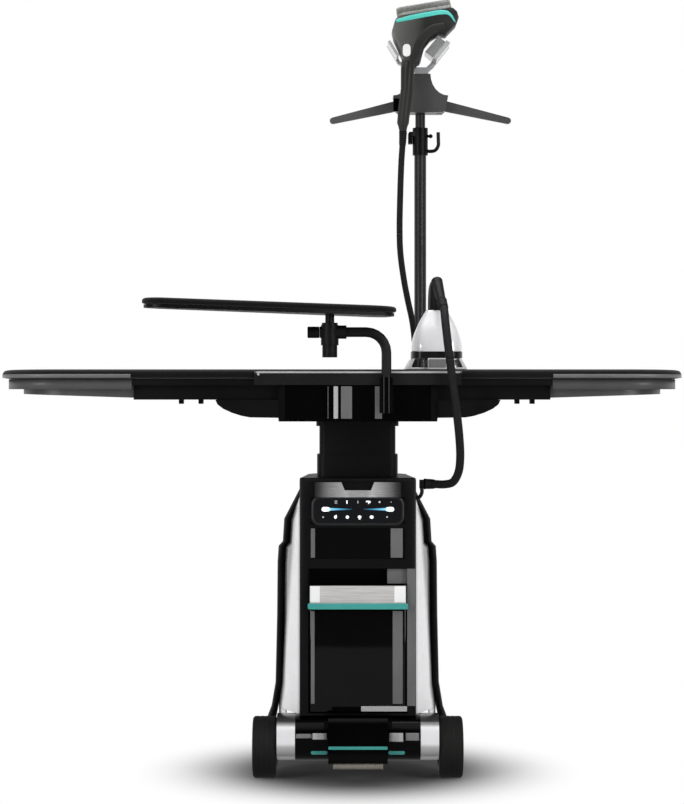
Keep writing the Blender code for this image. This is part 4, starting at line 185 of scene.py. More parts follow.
place = node(tree, "ShaderNodeSeparateXYZ", {0: coords.outputs["Object"]})
far = node(tree, "ShaderNodeMapRange", {
    "Value": place.outputs["Y"], "From Min": NEAR_FLOOR_Y, "From Max": FAR_FLOOR_Y,
    "To Min": NEAR_FLOOR_MIRRORED})
white, dim = [node(tree, "ShaderNodeEmission", {"Color": WHITE, "Strength": level})
              for level in (1.0, far)]
node(tree, "ShaderNodeOutputMaterial", {"Surface": by_ray(tree, paint, white, dim, fade)})
floor_mesh.materials.append(floor_paint)

# The hoses: rubber steam hoses in a black braided sleeve. One hangs from the iron's guard over
# the board's front edge to the elbow on the base. The other leaves the steamer's handle, runs
# down behind the board and the column and turns up into the socket on the base's back. Each is
# laid in stretches of tube.
STATION_X, STATION_Y = 0.030, 0.035294
IRON_HOSE_RADIUS = 0.0078
STEAM_HOSE_RADIUS = 0.00625
HOSE_SIDES = 24
BRAID_PITCH = 0.0036
SPAN_STEPS = 24
HOSE_STEP = 0.004
IRON_SPLIT_HEIGHT = 0.800
STEAM_SPLIT_HEIGHT = 1.060
IRON_LEVEL = (0.7071, 0.7071, 0)
STEAM_LEVEL = (0, 1, 0)
# the points that each hose's curve passes through
guard_end = np.array([0.158005, -0.158963, 0.911097])
guard_run = np.array([0.1001, -0.8008, -0.5906])
iron_hose_places = [
    guard_end + guard_run * 0.0003, guard_end + guard_run * 0.008,
    (0.1618, -0.1880, 0.893), (0.1632, -0.2060, 0.872), (0.1662, -0.2215, 0.838),
    (0.1703, -0.2310, 0.802), (0.1743, -0.2325, 0.768), (0.1798, -0.2320, 0.728),
    (0.1850, -0.2285, 0.688), (0.1890, -0.2220, 0.650), (0.1908, -0.2120, 0.618),
    (0.1885, -0.1990, 0.590), (0.1790, -0.1840, 0.570), (0.1640, -0.1640, 0.5645),
    (0.1480, -0.1450, 0.564), (0.1340, -0.1350, 0.564), (0.1263, -0.1350, 0.564)]
steam_hose_places = [
    (0.0940, 0.172, 1.2687), (0.0940, 0.172, 1.2610), (0.0928, 0.172, 1.2360),
    (0.0905, 0.172, 1.2000), (0.0882, 0.172, 1.1300), (0.0872, 0.173, 1.0680),
    (0.0890, 0.175, 1.0200), (0.0960, 0.179, 0.9680), (0.1045, 0.184, 0.9240),
    (0.1130, 0.192, 0.8860), (0.1182, 0.204, 0.8480), (0.1195, 0.211, 0.8040),
    (0.1160, 0.216, 0.7660), (0.1040, 0.218, 0.7380), (0.0880, 0.217, 0.7060),
    (0.0700, 0.2145, 0.6720), (0.0560, 0.213, 0.6360), (0.0470, 0.2125, 0.5950),
    (0.0430, 0.212, 0.5550), (0.0420, 0.212, 0.5303), (0.0420, 0.212, 0.5223)]
steam_tail_places = [
    (0.0420, 0.212, 0.5220), (0.0420, 0.212, 0.5140), (0.0414, 0.208, 0.4700),
    (0.0406, 0.196, 0.4200), (0.0400, 0.189, 0.3650), (0.0400, 0.188, 0.3000),
    (0.0390, 0.188, 0.2200), (0.0310, 0.188, 0.1720), (0.0130, 0.188, 0.1420),
    (-0.0100, 0.188, 0.1320), (-0.0330, 0.188, 0.1420), (-0.0510, 0.188, 0.1720),
    (-0.0590, 0.188, 0.2200), (-0.0600, 0.188, 0.2600), (-0.0600, 0.188, 0.2920),
    (-0.0600, 0.188, 0.2997)]


def curve(places, steps=SPAN_STEPS):
    """Catmull-Rom curve through the rows of places: between b and c it is half of
    2b + (c-a)t + (2a-5b+4c-d)t^2 + (3b-a-3c+d)t^3, with a before and d after them."""
    spots = np.array(places, float)
    spots = np.vstack([2 * spots[0] - spots[1], spots, 2 * spots[-1] - spots[-2]])
    a, b, c, d = (spots[i:len(spots) - 3 + i, None, :] for i in range(4))
    t = np.linspace(0, 1, steps, endpoint=False)[None, :, None]
    fine = 0.5 * (2 * b + (c - a) * t + (2 * a - 5 * b + 4 * c - d) * t ** 2
                  + (3 * b - a - 3 * c + d) * t ** 3)
    return np.vstack([fine.reshape(-1, spots.shape[1]), spots[-2]])


def run_along(line):
    """The length along a line up to each of its points."""
    return np.concatenate([[0], np.cumsum(np.linalg.norm(np.diff(line, axis=0), axis=1))])


def evened(line, count):
    """A line resampled to count points an equal way apart."""
    reach = run_along(line)
    want = np.linspace(0, reach[-1], count)
    return np.stack([np.interp(want, reach, axis) for axis in line.T], 1)


def hose_line(places):
    """Points at most HOSE_STEP apart on the curve through a hose's places."""
    fine = curve(np.array(places, float) + (STATION_X, STATION_Y, 0))
    return evened(fine, int(run_along(fine)[-1] / HOSE_STEP) + 2)


def skin(name, grids, material, metres=None, lids=True):
    """Mesh piece from grids of points, row r and column c: quads join (r, c), (r, c+1),
    (r+1, c+1), (r+1, c), and the columns close round. Flat lids close the first and last rows,
    or without lids the last row joins the first. A grid whose signed volume is negative is
    turned to face outwards. metres gives the (u, v) of each point for the UV map."""
    faces = []
    start = 0
    for grid in grids:
        rows, columns = grid.shape[:2]
        index = np.arange(rows * columns).reshape(rows, columns)
        if not lids:
            index = np.vstack([index, index[:1]])
        after = np.roll(index, -1, axis=1)
        quads = np.stack([index[:-1], after[:-1], after[1:], index[1:]], -1).reshape(-1, 4)
        made = (quads + start).tolist()
        if lids:
            made += [(index[0][::-1] + start).tolist(), (index[-1] + start).tolist()]
        flat = grid.reshape(-1, 3)
        p = flat[quads] - flat.mean(0)
        if (p[:, 0] * (np.cross(p[:, 1], p[:, 2]) + np.cross(p[:, 2], p[:, 3]))).sum() < 0:
            made = [face[::-1] for face in made]
        faces += made
        start += rows * columns
    mesh = bpy.data.meshes.new(name)
    mesh.from_pydata(np.vstack([grid.reshape(-1, 3) for grid in grids]).tolist(), [], faces)
    mesh.polygons.foreach_set("use_smooth", [len(face) == 4 for face in faces])
    if metres is not None:
        layer = mesh.uv_layers.new(name="metres")
        corner = np.zeros(len(mesh.loops), np.int64)
        mesh.loops.foreach_get("vertex_index", corner)
        layer.data.foreach_set("uv", metres.reshape(-1, 2)[corner].ravel())
    mesh.materials.append(material)
    return new_object(name, mesh)


def spread(*axes):
    """Points whose coordinates are given for each row, each column or all of a grid."""
    return np.stack(np.broadcast_arrays(*axes), -1)


def tube_grid(line, radii, level, sides=HOSE_SIDES):
    """Circles across a line: each point plus r(cos a * side + sin a * rise), where side is
    tangent x level and rise is side x tangent. Also its (around, along) in metres."""
    tangent = np.gradient(line, axis=0)
    tangent /= np.linalg.norm(tangent, axis=1, keepdims=True)
    side = np.cross(tangent, level)
    side /= np.linalg.norm(side, axis=1, keepdims=True)
    rise = np.cross(side, tangent)
    angle = np.linspace(0, 2 * math.pi, sides, endpoint=False)
    radii = np.broadcast_to(radii, len(line))[:, None, None]
    grid = line[:, None] + radii * (np.cos(angle)[None, :, None] * side[:, None]
                                    + np.sin(angle)[None, :, None] * rise[:, None])
    around = angle / (2 * math.pi) * round(2 * math.pi * radii.max() / BRAID_PITCH) * BRAID_PITCH
    return grid, spread(around[None, :], run_along(line)[:, None])


def two_tone(tree, shader, share, dark, light, height, strength, depth):
    """Colours a finish from dark to light by the share, and gives it relief by the height."""
    tint = node(tree, "ShaderNodeMix", {"Factor": share, "A": linear(dark), "B": linear(light)},
                data_type="RGBA")
    bump = node(tree, "ShaderNodeBump", {"Height": height, "Strength": strength,
                                         "Distance": depth})
    fill(shader, {"Base Color": tint, "Normal": bump})


# Braided sleeve: polyester yarn woven on a mandrel. It reads as black with a faint lattice of
# lighter yarn; the real 1 mm pitch is drawn at 3.6 mm so that it shows.
def braided_sleeve(name, dark, light):
    """Black braid: two sets of waves cross on the hose's own (around, along) metres."""
    material, tree, shader = new_material(name)
    place = node(tree, "ShaderNodeUVMap", uv_map="metres")
    strands = []
    for lean in (1, -1):
        along = node(tree, "ShaderNodeMapping", {
            "Vector": place, "Rotation": (0, 0, lean * math.pi / 4),
            "Scale": (1 / BRAID_PITCH,) * 3})
        wave = node(tree, "ShaderNodeTexWave", {"Vector": along, "Scale": 0.45,
                                                "Distortion": 0.6}, bands_direction="X")
        strands.append(wave.outputs["Fac"])
    lattice = node(tree, "ShaderNodeMath", {0: strands[0], 1: strands[1]}, operation="MULTIPLY")
    two_tone(tree, shader, lattice, dark, light, lattice, 0.5, 0.0006)
    fill(shader, {"Roughness": 0.62, "Specular IOR Level": 0.25})
    return material


def row_at(line, height):
    """The row of a hose's line whose z is nearest to that height."""
    return int(np.argmin(np.abs(line[:, 2] - height)))


def lay_hose(name, line, radius, level, node_name):
    """One stretch of hose as a tube along its line, in place of its CAD node."""
    grid, metres = tube_grid(line, radius, level)
    piece = skin(name, [grid], hose_braid, metres)
    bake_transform(piece)
    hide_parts(node_name)


hose_braid = braided_sleeve("black_braided_polyester", "#080808", "#2a2a2c")
iron_line = hose_line(iron_hose_places)
steam_line = hose_line(steam_hose_places)
tail_line = hose_line(steam_tail_places)
split = row_at(iron_line, IRON_SPLIT_HEIGHT)
lay_hose("iron_hose_top", iron_line[:split + 1], IRON_HOSE_RADIUS, IRON_LEVEL,
         "iron_hose")
lay_hose("iron_hose_fall", iron_line[split:], IRON_HOSE_RADIUS, IRON_LEVEL,
         "iron_hose")
split = row_at(steam_line, STEAM_SPLIT_HEIGHT)
lay_hose("steam_hose_top", steam_line[:split + 1], STEAM_HOSE_RADIUS, STEAM_LEVEL,
         "steamer_hose_upper")
lay_hose("steam_hose_middle", steam_line[split:], STEAM_HOSE_RADIUS, STEAM_LEVEL,
         "steamer_hose_upper")
lay_hose("steam_hose_tail", tail_line, STEAM_HOSE_RADIUS, STEAM_LEVEL,
         "steamer_hose_lower")

# Wheels: rubber tyres pressed on moulded nylon hubs, on one zinc-plated axle. The tyre's rounded
# shoulders and running grooves are turned in the mould; its rubber is matt with a dusty bloom.
WHEEL_CENTRE_Y = -0.0647
WHEEL_CENTRE_Z = 0.0589
WHEEL_MIDDLES = {"left": -0.14735, "right": 0.20735}
TYRE_HALF_WIDTH = 0.0231
TYRE_OUTER = 0.0588
TYRE_INNER = 0.0470
TYRE_SHOULDER = 0.0062
GROOVE_DEPTH = 0.0007
GROOVES = 5
GROOVE_EDGE = 0.72
TURN_STEPS = 96
PATCH_SCALE = 9.0
SMOOTH_LIMIT = math.radians(38)


def surface(name, colour, cloud, roughness, grain, relief, metallic=0.0, specular=0.5,
            coat=0.0, stretch=(1, 1, 1)):
    """Finish of one moulded, painted or metal part. A fine noise of that grain in metres gives
    the relief; a slow one drifts the colour towards cloud and the roughness by a tenth. stretch
    scales the noise per axis, which draws brush lines where one is far below the others."""
    material, tree, shader = new_material(name)
    coords = node(tree, "ShaderNodeTexCoord")
    place = node(tree, "ShaderNodeMapping", {"Vector": coords.outputs["Object"],
                                             "Scale": stretch})
    fine, slow = [node(tree, "ShaderNodeTexNoise", {"Vector": place, "Scale": scale,
                                                    "Detail": detail})
                  for scale, detail in ((1 / grain, 2.0), (PATCH_SCALE, 3.0))]
    both = node(tree, "ShaderNodeMath", {0: fine, 1: slow}, operation="MULTIPLY")
    drift = node(tree, "ShaderNodeMapRange", {"Value": both, "From Min": 0.12,
                                              "From Max": 0.42})
    worn = node(tree, "ShaderNodeMapRange", {"Value": drift, "To Min": roughness * 0.9,
                                             "To Max": min(1.0, roughness * 1.1)})
    two_tone(tree, shader, drift, colour, cloud, fine, 0.4, relief)
    fill(shader, {"Roughness": worn, "Metallic": metallic, "Specular IOR Level": specular,
                  "Coat Weight": coat, "Coat Roughness": 0.06})
    return material


# Smooth shading as a modifier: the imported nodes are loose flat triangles, so they are merged,
# and edges under the limit are shaded smooth. No point moves.
smooth_tree = bpy.data.node_groups.new("smooth_shading", "GeometryNodeTree")
for way in ("INPUT", "OUTPUT"):
    smooth_tree.interface.new_socket("Geometry", in_out=way, socket_type="NodeSocketGeometry")
source = node(smooth_tree, "NodeGroupInput")
bare = node(smooth_tree, "GeometryNodeRemoveAttribute", {"Geometry": source,
                                                         "Name": "custom_normal"})
whole = node(smooth_tree, "GeometryNodeMergeByDistance", {"Geometry": bare, "Distance": 1e-5})
angle = node(smooth_tree, "GeometryNodeInputMeshEdgeAngle")
gentle = node(smooth_tree, "FunctionNodeCompare", {"A": angle.outputs["Unsigned Angle"],
                                                   "B": SMOOTH_LIMIT}, operation="LESS_THAN")
faces = node(smooth_tree, "GeometryNodeSetShadeSmooth", {"Geometry": whole,
                                                         "Shade Smooth": True})
edges = node(smooth_tree, "GeometryNodeSetShadeSmooth", {"Geometry": faces,
                                                         "Shade Smooth": gentle}, domain="EDGE")
node(smooth_tree, "NodeGroupOutput", {"Geometry": edges})


def dress(material, *names):
    """Gives CAD nodes their finish and smooth shading."""
    for name in names:
        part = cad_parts[name]
        part.data.materials.clear()
        part.data.materials.append(material)
        part.modifiers.new("smooth_shading", "NODES").node_group = smooth_tree


def add_piece(name, grids, material, body, slot_name, *replaced, lids=True):
    """Makes a piece, rides it on its body, and hides the nodes it stands for. slot_name is not
    used.
    """
    piece = skin(name, grids, material, lids=lids)
    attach(piece, body)
    if replaced:
        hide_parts(*replaced)
    return piece


tyre_rubber = surface("black_tyre_rubber", "#0f0f0f", "#1c1b1a", 0.72, 0.0016, 0.0002,
                      specular=0.25)
hub_nylon = surface("satin_black_glass_filled_nylon", "#121213", "#1d1d1e", 0.5, 0.0011, 0.00008)
zinc = surface("zinc_plated_steel", "#a9abad", "#c9cbcc", 0.34, 0.0009, 0.00004, metallic=1.0)
quarter = np.linspace(0, math.pi / 2, 7)
shoulder_u = TYRE_HALF_WIDTH - TYRE_SHOULDER * (1 - np.sin(quarter))
shoulder_r = TYRE_OUTER - TYRE_SHOULDER * (1 - np.cos(quarter))
run = np.linspace(1, -1, 61)[1:-1] * (TYRE_HALF_WIDTH - TYRE_SHOULDER)
crest = np.clip(np.cos(run / TYRE_HALF_WIDTH * math.pi * GROOVES) - GROOVE_EDGE, 0, 1)
groove = GROOVE_DEPTH * crest / (1 - GROOVE_EDGE)
profile_u = np.concatenate([[TYRE_HALF_WIDTH], shoulder_u[::-1], run, -shoulder_u,
                            [-TYRE_HALF_WIDTH]])
profile_r = np.concatenate([[TYRE_INNER], shoulder_r[::-1], TYRE_OUTER - groove, shoulder_r,
                            [TYRE_INNER]])
turn = np.linspace(0, 2 * math.pi, TURN_STEPS, endpoint=False)
for side, middle in WHEEL_MIDDLES.items():
    # radius r and offset u turned about the axle: (middle + u, y + r cos a, z + r sin a)
    tyre_grid = spread(middle + profile_u[:, None],
                       WHEEL_CENTRE_Y + profile_r[:, None] * np.cos(turn),
                       WHEEL_CENTRE_Z + profile_r[:, None] * np.sin(turn))
    add_piece("tyre_tread_" + side, [tyre_grid], tyre_rubber, "wheel_" + side, "tyre_" + side,
              "tyre_" + side, lids=False)
dress(hub_nylon, "wheel_hub_left", "wheel_hub_right")
dress(zinc, "axle")

# Axle housing: a gloss black moulded barrel with a teal bar let into each side of the pedal, and
# on each end a silver-lacquered sleeve. Gloss ABS mirrors the studio with a soft orange peel; its
# bright patches are painted reflections, made as grey and pale satin bars, and the sleeves'
# colour carries painted reflection and shade in bands, graded as the photo shows them.
BARREL_FRONT = -0.1297
BARREL_ROUND, BARREL_ROUND_Z = 0.036, 0.088
TEAL_BARS = ((-0.0589, -0.0272), (0.0872, 0.1189))
TEAL_FRONT, TEAL_BACK = BARREL_FRONT + 0.0030, -0.118
TEAL_LOW, TEAL_HIGH = 0.0533, 0.0613
# painted reflections on the barrel's rounded top: left, right, low and high of each bar
GREY_REFLECTION_BARS = ((-0.0874, -0.0573, 0.0850, 0.0932), (0.1202, 0.1456, 0.0806, 0.0950))
PALE_REFLECTION_BARS = ((-0.0557, -0.0288, 0.0826, 0.0944), (0.0891, 0.1155, 0.0786, 0.0950))
HUB_SLEEVE_LOW, HUB_SLEEVE_HIGH = 0.0388, 0.1232
# painted reflection and shade on the sleeves: bright and dark bands of colour by height
HUB_SLEEVE_PAINTED_SHADE_STOPS = ((0.0, "#f4f4f4"), (0.09, "#f0f0f0"), (0.14, "#a4a4a4"), (0.34, "#c8c8c8"),
                    (0.42, "#ffffff"), (0.78, "#ffffff"), (0.84, "#9a9a9a"), (0.90, "#484848"),
                    (1.0, "#2c2c2c"))


def graded(tree, share, stops):
    """Colour ramp through its (share, hex) stops."""
    ramp = node(tree, "ShaderNodeValToRGB", {0: share})
    for element, (spot, code) in zip(list(ramp.color_ramp.elements), (stops[0], stops[-1])):
        element.position = spot
        element.color = linear(code)
    for spot, code in stops[1:-1]:
        ramp.color_ramp.elements.new(spot).color = linear(code)
    return ramp


def object_place(tree):
    """The shaded point's own x, y and z."""
    return node(tree, "ShaderNodeSeparateXYZ",
                {0: node(tree, "ShaderNodeTexCoord").outputs["Object"]})


def recolour(material, blend, share, colour):
    """Blends a colour into a finish's own."""
    shader = material.node_tree.nodes["Principled BSDF"]
    own = shader.inputs["Base Color"].links[0].from_socket
    fill(shader, {"Base Color": node(material.node_tree, "ShaderNodeMix", {
        "Factor": share, "A": own, "B": colour}, data_type="RGBA", blend_type=blend)})


def shade_along(material, axis, low, high, stops):
    """Paints light and shade into a finish along one axis, as the photo's studio shows it: its
    colour times a ramp of (share, hex) stops between low and high."""
    tree = material.node_tree
    share = node(tree, "ShaderNodeMapRange", {"Value": object_place(tree).outputs[axis],
                                              "From Min": low, "From Max": high})
    recolour(material, "MULTIPLY", 1.0, graded(tree, share, stops))


def ring(half_u, half_v, corner, steps=6):
    """Rectangle with round corners: each corner's centre plus a quarter circle, anticlockwise."""
    angle = np.linspace(0, math.pi / 2, steps + 1)
    way = np.concatenate([angle + quarter * math.pi / 2 for quarter in range(4)])
    side_u = np.repeat([1, -1, -1, 1], steps + 1)
    side_v = np.repeat([1, 1, -1, -1], steps + 1)
    return np.stack([side_u * (half_u - corner) + corner * np.cos(way),
                     side_v * (half_v - corner) + corner * np.sin(way)], -1)


def plate(low, high, corner, edge, steps=4):
    """Plate that faces -Y between two corners of its box: the ring stays whole from the back to
    edge behind the front, then draws in by edge(1 - cos a) as it rises by edge sin a."""
    half_u, half_v = (high[0] - low[0]) / 2, (high[2] - low[2]) / 2
    middle_u, middle_v = (high[0] + low[0]) / 2, (high[2] + low[2]) / 2
    corner = min(corner, half_u * 0.999, half_v * 0.999)
    edge = min(edge, corner * 0.95)
    angle = np.linspace(0, math.pi / 2, steps + 1)
    insets = np.concatenate([[0], edge * (1 - np.cos(angle))])
    depths = np.concatenate([[high[1]], low[1] + edge * (1 - np.sin(angle))])
    rows = []
    for inset, depth in zip(insets, depths):
        flat = ring(half_u - inset, half_v - inset, corner - inset)
        rows.append(spread(middle_u + flat[:, 0], depth, middle_v + flat[:, 1]))
    return np.array(rows)


def barrel_bar(left, right, low, high):
    """Bar laid on the barrel's front between two heights: points (x, y(z), z) with y the flat
    front up to the round's centre height c and front + r - sqrt(r^2 - (z - c)^2) above it,
    0.4 mm outside, and 2 mm inside."""
    level = np.linspace(low, high, 9)
    rise = np.clip(level - BARREL_ROUND_Z, 0, BARREL_ROUND)
    deep = BARREL_FRONT + BARREL_ROUND - np.sqrt(BARREL_ROUND ** 2 - rise ** 2)
    return spread(np.linspace(left, right, 4)[:, None],
                  np.concatenate([deep - 0.0004, deep[::-1] + 0.002]),
                  np.concatenate([level, level[::-1]]))


gloss_black = surface("high_gloss_black_abs", "#030303", "#070708", 0.12, 0.0030, 0.00003,
                      specular=0.12)
silver_lacquer = surface("silver_lacquered_abs", "#f4f4f6", "#fcfcfe", 0.24, 0.0007, 0.00002,
                         metallic=0.1, coat=0.4)
teal_abs = surface("teal_gloss_abs", "#3a9690", "#46a39c", 0.22, 0.0020, 0.00002)
# satin greys that paint the barrel's reflections
grey_reflection_paint = surface("grey_painted_reflection_bar", "#6e6e6e", "#828282", 0.36, 0.0010, 0.00003)
pale_reflection_paint = surface("pale_painted_reflection_bar", "#a8a8a8", "#c0c0c0", 0.34, 0.0010, 0.00003)
dress(gloss_black, "axle_housing")
dress(silver_lacquer, "hub_sleeve_left", "hub_sleeve_right")
# painted reflection and shade: the sleeves' colour banded by height
shade_along(silver_lacquer, "Z", HUB_SLEEVE_LOW, HUB_SLEEVE_HIGH, HUB_SLEEVE_PAINTED_SHADE_STOPS)
add_piece("barrel_teal_bars", [plate((left, TEAL_FRONT, TEAL_LOW), (right, TEAL_BACK, TEAL_HIGH),
                                     0.0039, 0.0010) for left, right in TEAL_BARS],
          teal_abs, "root", "axle_housing")
# the barrel's painted reflections, laid on its rounded top
for name, bars, finish in (("barrel_grey_painted_reflections", GREY_REFLECTION_BARS, grey_reflection_paint),
                           ("barrel_pale_painted_reflections", PALE_REFLECTION_BARS, pale_reflection_paint)):
    add_piece(name, [barrel_bar(*bar) for bar in bars], finish, "root", "axle_housing")

# Foot pedal: a gloss black plate hinged on a steel pin, with a teal line across it and a grey
# ribbed rubber grip, matt and a little dusty, on the tread that the foot presses.
PEDAL_FRONT = -0.1547
TEAL_LINE = (-0.0255, 0.0855, 0.0672, 0.0732)
TREAD_LEFT, TREAD_RIGHT = -0.0172, 0.0772
TREAD_Y, TREAD_Z = -0.1655, 0.03655
TREAD_REACH, TREAD_HALF_HEIGHT = 0.0040, 0.0046
TREAD_RIBS, RIB_SWELL = 22, 0.0004


def inlay(face, place, proud=0.0004, corner=0.0010, edge=0.0003, deep=0.003, steps=4):
    """Thin plate let into a face that looks forwards, at its left, right, low and high."""
    left, right, low, high = place
    return plate((left, face - proud, low), (right, face + deep, high), corner, edge, steps)


grip_rubber = surface("grey_ribbed_rubber", "#6c6862", "#8b857d", 0.75, 0.0012, 0.00015,
                      specular=0.3)
dress(gloss_black, "foot_pedal")
add_piece("pedal_teal_line", [inlay(PEDAL_FRONT, TEAL_LINE, 0.0007, 0.0015, 0.0006)], teal_abs,
          "pedal", "foot_pedal")
# ribs round the tread's edge: half height and reach swell with the cosine of the place along it
along = np.linspace(0, 1, TREAD_RIBS * 8 + 1)
swell = RIB_SWELL * np.cos(along * TREAD_RIBS * 2 * math.pi)[:, None]
angle = np.linspace(-math.pi / 2, math.pi / 2, 13)
grip_grid = spread(
    (TREAD_LEFT + (TREAD_RIGHT - TREAD_LEFT) * along)[:, None],
    TREAD_Y - (TREAD_REACH + swell) * np.concatenate([np.cos(angle), [-3.0, -3.0]]),
    TREAD_Z + (TREAD_HALF_HEIGHT + swell) * np.concatenate([np.sin(angle), [1.0, -1.0]]))
add_piece("pedal_tread_grip", [grip_grid], grip_rubber, "pedal", "foot_pedal")

# Side rails and feet, base tray, rear shell and top deck: the base's mouldings in black ABS,
# screwed to each other. Their spark-eroded texture takes the shine off.
satin_black = surface("satin_black_spark_eroded_abs", "#050505", "#0b0b0c", 0.42, 0.0010, 0.00010,
                      specular=0.20)
dress(satin_black, "side_rail_left", "side_rail_right", "base_tray", "rear_shell", "top_deck")

# Side panels: silver-lacquered skins clipped on the shell, which curve back from the fascia to
# the rails, with a short skirt under each foot. Their pearl is bright where it faces the soft
# boxes; the grey strip beside the fascia and the dark upper back edge are painted shade that
# follows the photo.
PANEL_LEFT, PANEL_RIGHT = -0.13, 0.19
# painted shade: grey along each panel's inner edge, beside the fascia
PANEL_SHADE_STOPS = ((0.0, "#ffffff"), (0.138, "#ffffff"), (0.158, "#8e8e8e"), (0.842, "#8e8e8e"),
               (0.862, "#ffffff"), (1.0, "#ffffff"))
# painted shade on the upper back edge: where it starts, where it is full, its rise with height
BACK_EDGE_SHADE_START, BACK_EDGE_SHADE_FULL = 0.1530, 0.1635
BACK_EDGE_SHADE_RISE = 0.0755
SKIRT_LINE = [(-0.1092, -0.0195), (-0.1110, -0.0145), (-0.1158, 0.0030), (-0.1198, 0.0206),
              (-0.1224, 0.0380), (-0.1241, 0.0547)]
SKIRT_LOOP = np.array([(0, 0.1240), (0, 0.1120), (0, 0.1010), (0.0004, 0.1003), (0.00125, 0.1000),
                       (0.0021, 0.1003), (0.0025, 0.1010), (0.0025, 0.1240)])


def aside(tree, place):
    """How far the shaded point is beside the station's middle, |x - STATION_X|."""
    off = node(tree, "ShaderNodeMath", {0: place.outputs["X"], 1: STATION_X},
               operation="SUBTRACT")
    return node(tree, "ShaderNodeMath", {0: off}, operation="ABSOLUTE")


def panel_skirt(side):
    """Wall under one side panel's foot, from the foot's line p(t) with its inward normal n:
    points p + d n at height z for each (d, z) of the loop, mirrored about STATION_X for side 1."""
    line = curve(SKIRT_LINE, 6)
    along = np.gradient(line, axis=0)
    along /= np.linalg.norm(along, axis=1)[:, None]
    inward = np.stack([along[:, 1], -along[:, 0]], 1)
    flat = line[:, None] + inward[:, None] * SKIRT_LOOP[None, :, :1]
    return spread(STATION_X + side * (STATION_X - flat[..., 0]), flat[..., 1],
                  SKIRT_LOOP[None, :, 1])


panel_silver = surface("pearl_silver_lacquer_painted_shade", "#f0f0f2", "#f8f8fa", 0.28, 0.0006, 0.00002,
                       metallic=0.08, coat=0.4)
# painted shade: the panels' colour greys along their inner edges
shade_along(panel_silver, "X", PANEL_LEFT, PANEL_RIGHT, PANEL_SHADE_STOPS)
# painted shade: the back edge darkens where aside + rise * z goes from where the shade starts
# to where it is full
tree = panel_silver.node_tree
place = object_place(tree)
slant = node(tree, "ShaderNodeMath", {0: place.outputs["Z"], 1: BACK_EDGE_SHADE_RISE,
                                      2: aside(tree, place)}, operation="MULTIPLY_ADD")
share = node(tree, "ShaderNodeMapRange", {"Value": slant, "From Min": BACK_EDGE_SHADE_START,
                                          "From Max": BACK_EDGE_SHADE_FULL},
             interpolation_type="SMOOTHSTEP")
recolour(panel_silver, "MIX", share, linear("#1c1c1d"))
dress(panel_silver, "side_panel_left", "side_panel_right")
add_piece("side_panel_skirts", [panel_skirt(-1), panel_skirt(1)], panel_silver, "root",
          "side_panel_left")

# Front frame and fascia: a satin black frame, a brushed brow above the display, a smoked glass
# display in a raised rim, and a gloss panel below between two grey strips that are painted
# reflections. The brow's colour is painted sheen, bright with two painted highlights and dark at
# both ends. A grey band down the frame's right stile, a grey patch in its recess and a light strip
# along its foot are painted reflections too.
FASCIA_FRONT = -0.1162
FRAME_FRONT = -0.1147
BROW_LEFT, BROW_RIGHT = -0.0525, 0.1125
# painted sheen along the brow: dark at both ends, with two painted highlights
BROW_PAINTED_SHEEN_STOPS = ((0.0, "#262626"), (0.06, "#5c5c5c"), (0.16, "#b0b0b0"), (0.36, "#f4f4f4"),
              (0.42, "#d8d8d8"), (0.60, "#dcdcdc"), (0.66, "#ffffff"), (0.84, "#b0b0b0"),
              (0.94, "#5c5c5c"), (1.0, "#262626"))
RIM_HALF_X, RIM_HALF_Z, RIM_CORNER, RIM_Z = 0.0832, 0.0231, 0.0120, 0.5136
RIM_PROFILE = ((0.0, 0.0020), (0.0, -0.0006), (0.0006, -0.0010), (0.0040, -0.0004),
               (0.0052, 0.0012), (0.0052, 0.0020))
# painted reflections on the panel, the stile, the recess and the frame's foot
FASCIA_REFLECTION_STRIPS = ((-0.0590, -0.0512, 0.4250, 0.4805), (0.0922, 0.1150, 0.4250, 0.4805))
STILE_REFLECTION_STRIP = (0.1235, 0.1392, 0.1440, 0.4040)
RECESS_REFLECTION_PATCH = ((0.0860, -0.1040, 0.3750), (0.1240, -0.1000, 0.4030))
FOOT_REFLECTION_STRIP = (0.0360, 0.1232, 0.1335, 0.1435)
brushed_brow = surface("brushed_aluminium_trim_painted_sheen", "#b4b4b5", "#d4d4d5", 0.26, 0.0009, 0.00004,
                       metallic=0.25, stretch=(0.05, 1, 1))
display_smoke = surface("black_display_glass", "#020306", "#05070c", 0.05, 0.0040, 0.00001,
                        specular=0.4)
rim_grey = surface("graphite_satin_rim", "#161617", "#262627", 0.35, 0.0010, 0.00003)
# grey for the end tape and the painted reflections; light grey for painted highlights and the lip's
# screw head
tape_and_reflection_grey = surface("grey_satin_tape_and_painted_reflection", "#5c5c5d", "#717172", 0.36, 0.0010, 0.00003)
highlight_and_screw_grey = surface("light_grey_painted_highlight_and_screw", "#a2a2a2", "#b8b8b8", 0.34, 0.0010, 0.00003)
# painted sheen: the brow's colour graded along its length
shade_along(brushed_brow, "X", BROW_LEFT, BROW_RIGHT, BROW_PAINTED_SHEEN_STOPS)
dress(satin_black, "front_frame")
dress(brushed_brow, "brow_trim")
dress(display_smoke, "display_glass")
dress(gloss_black, "front_panel")
# the display's rim: the ring's outline swept outwards and forwards, as a raised frame
rim_rows = []
for grow, depth in RIM_PROFILE:
    flat = ring(RIM_HALF_X + grow, RIM_HALF_Z + grow, RIM_CORNER + grow, 10)
    rim_rows.append(spread(STATION_X + flat[:, 0], FASCIA_FRONT + depth, RIM_Z + flat[:, 1]))
add_piece("display_rim", [np.array(rim_rows)], rim_grey, "root", "display_glass", lids=False)
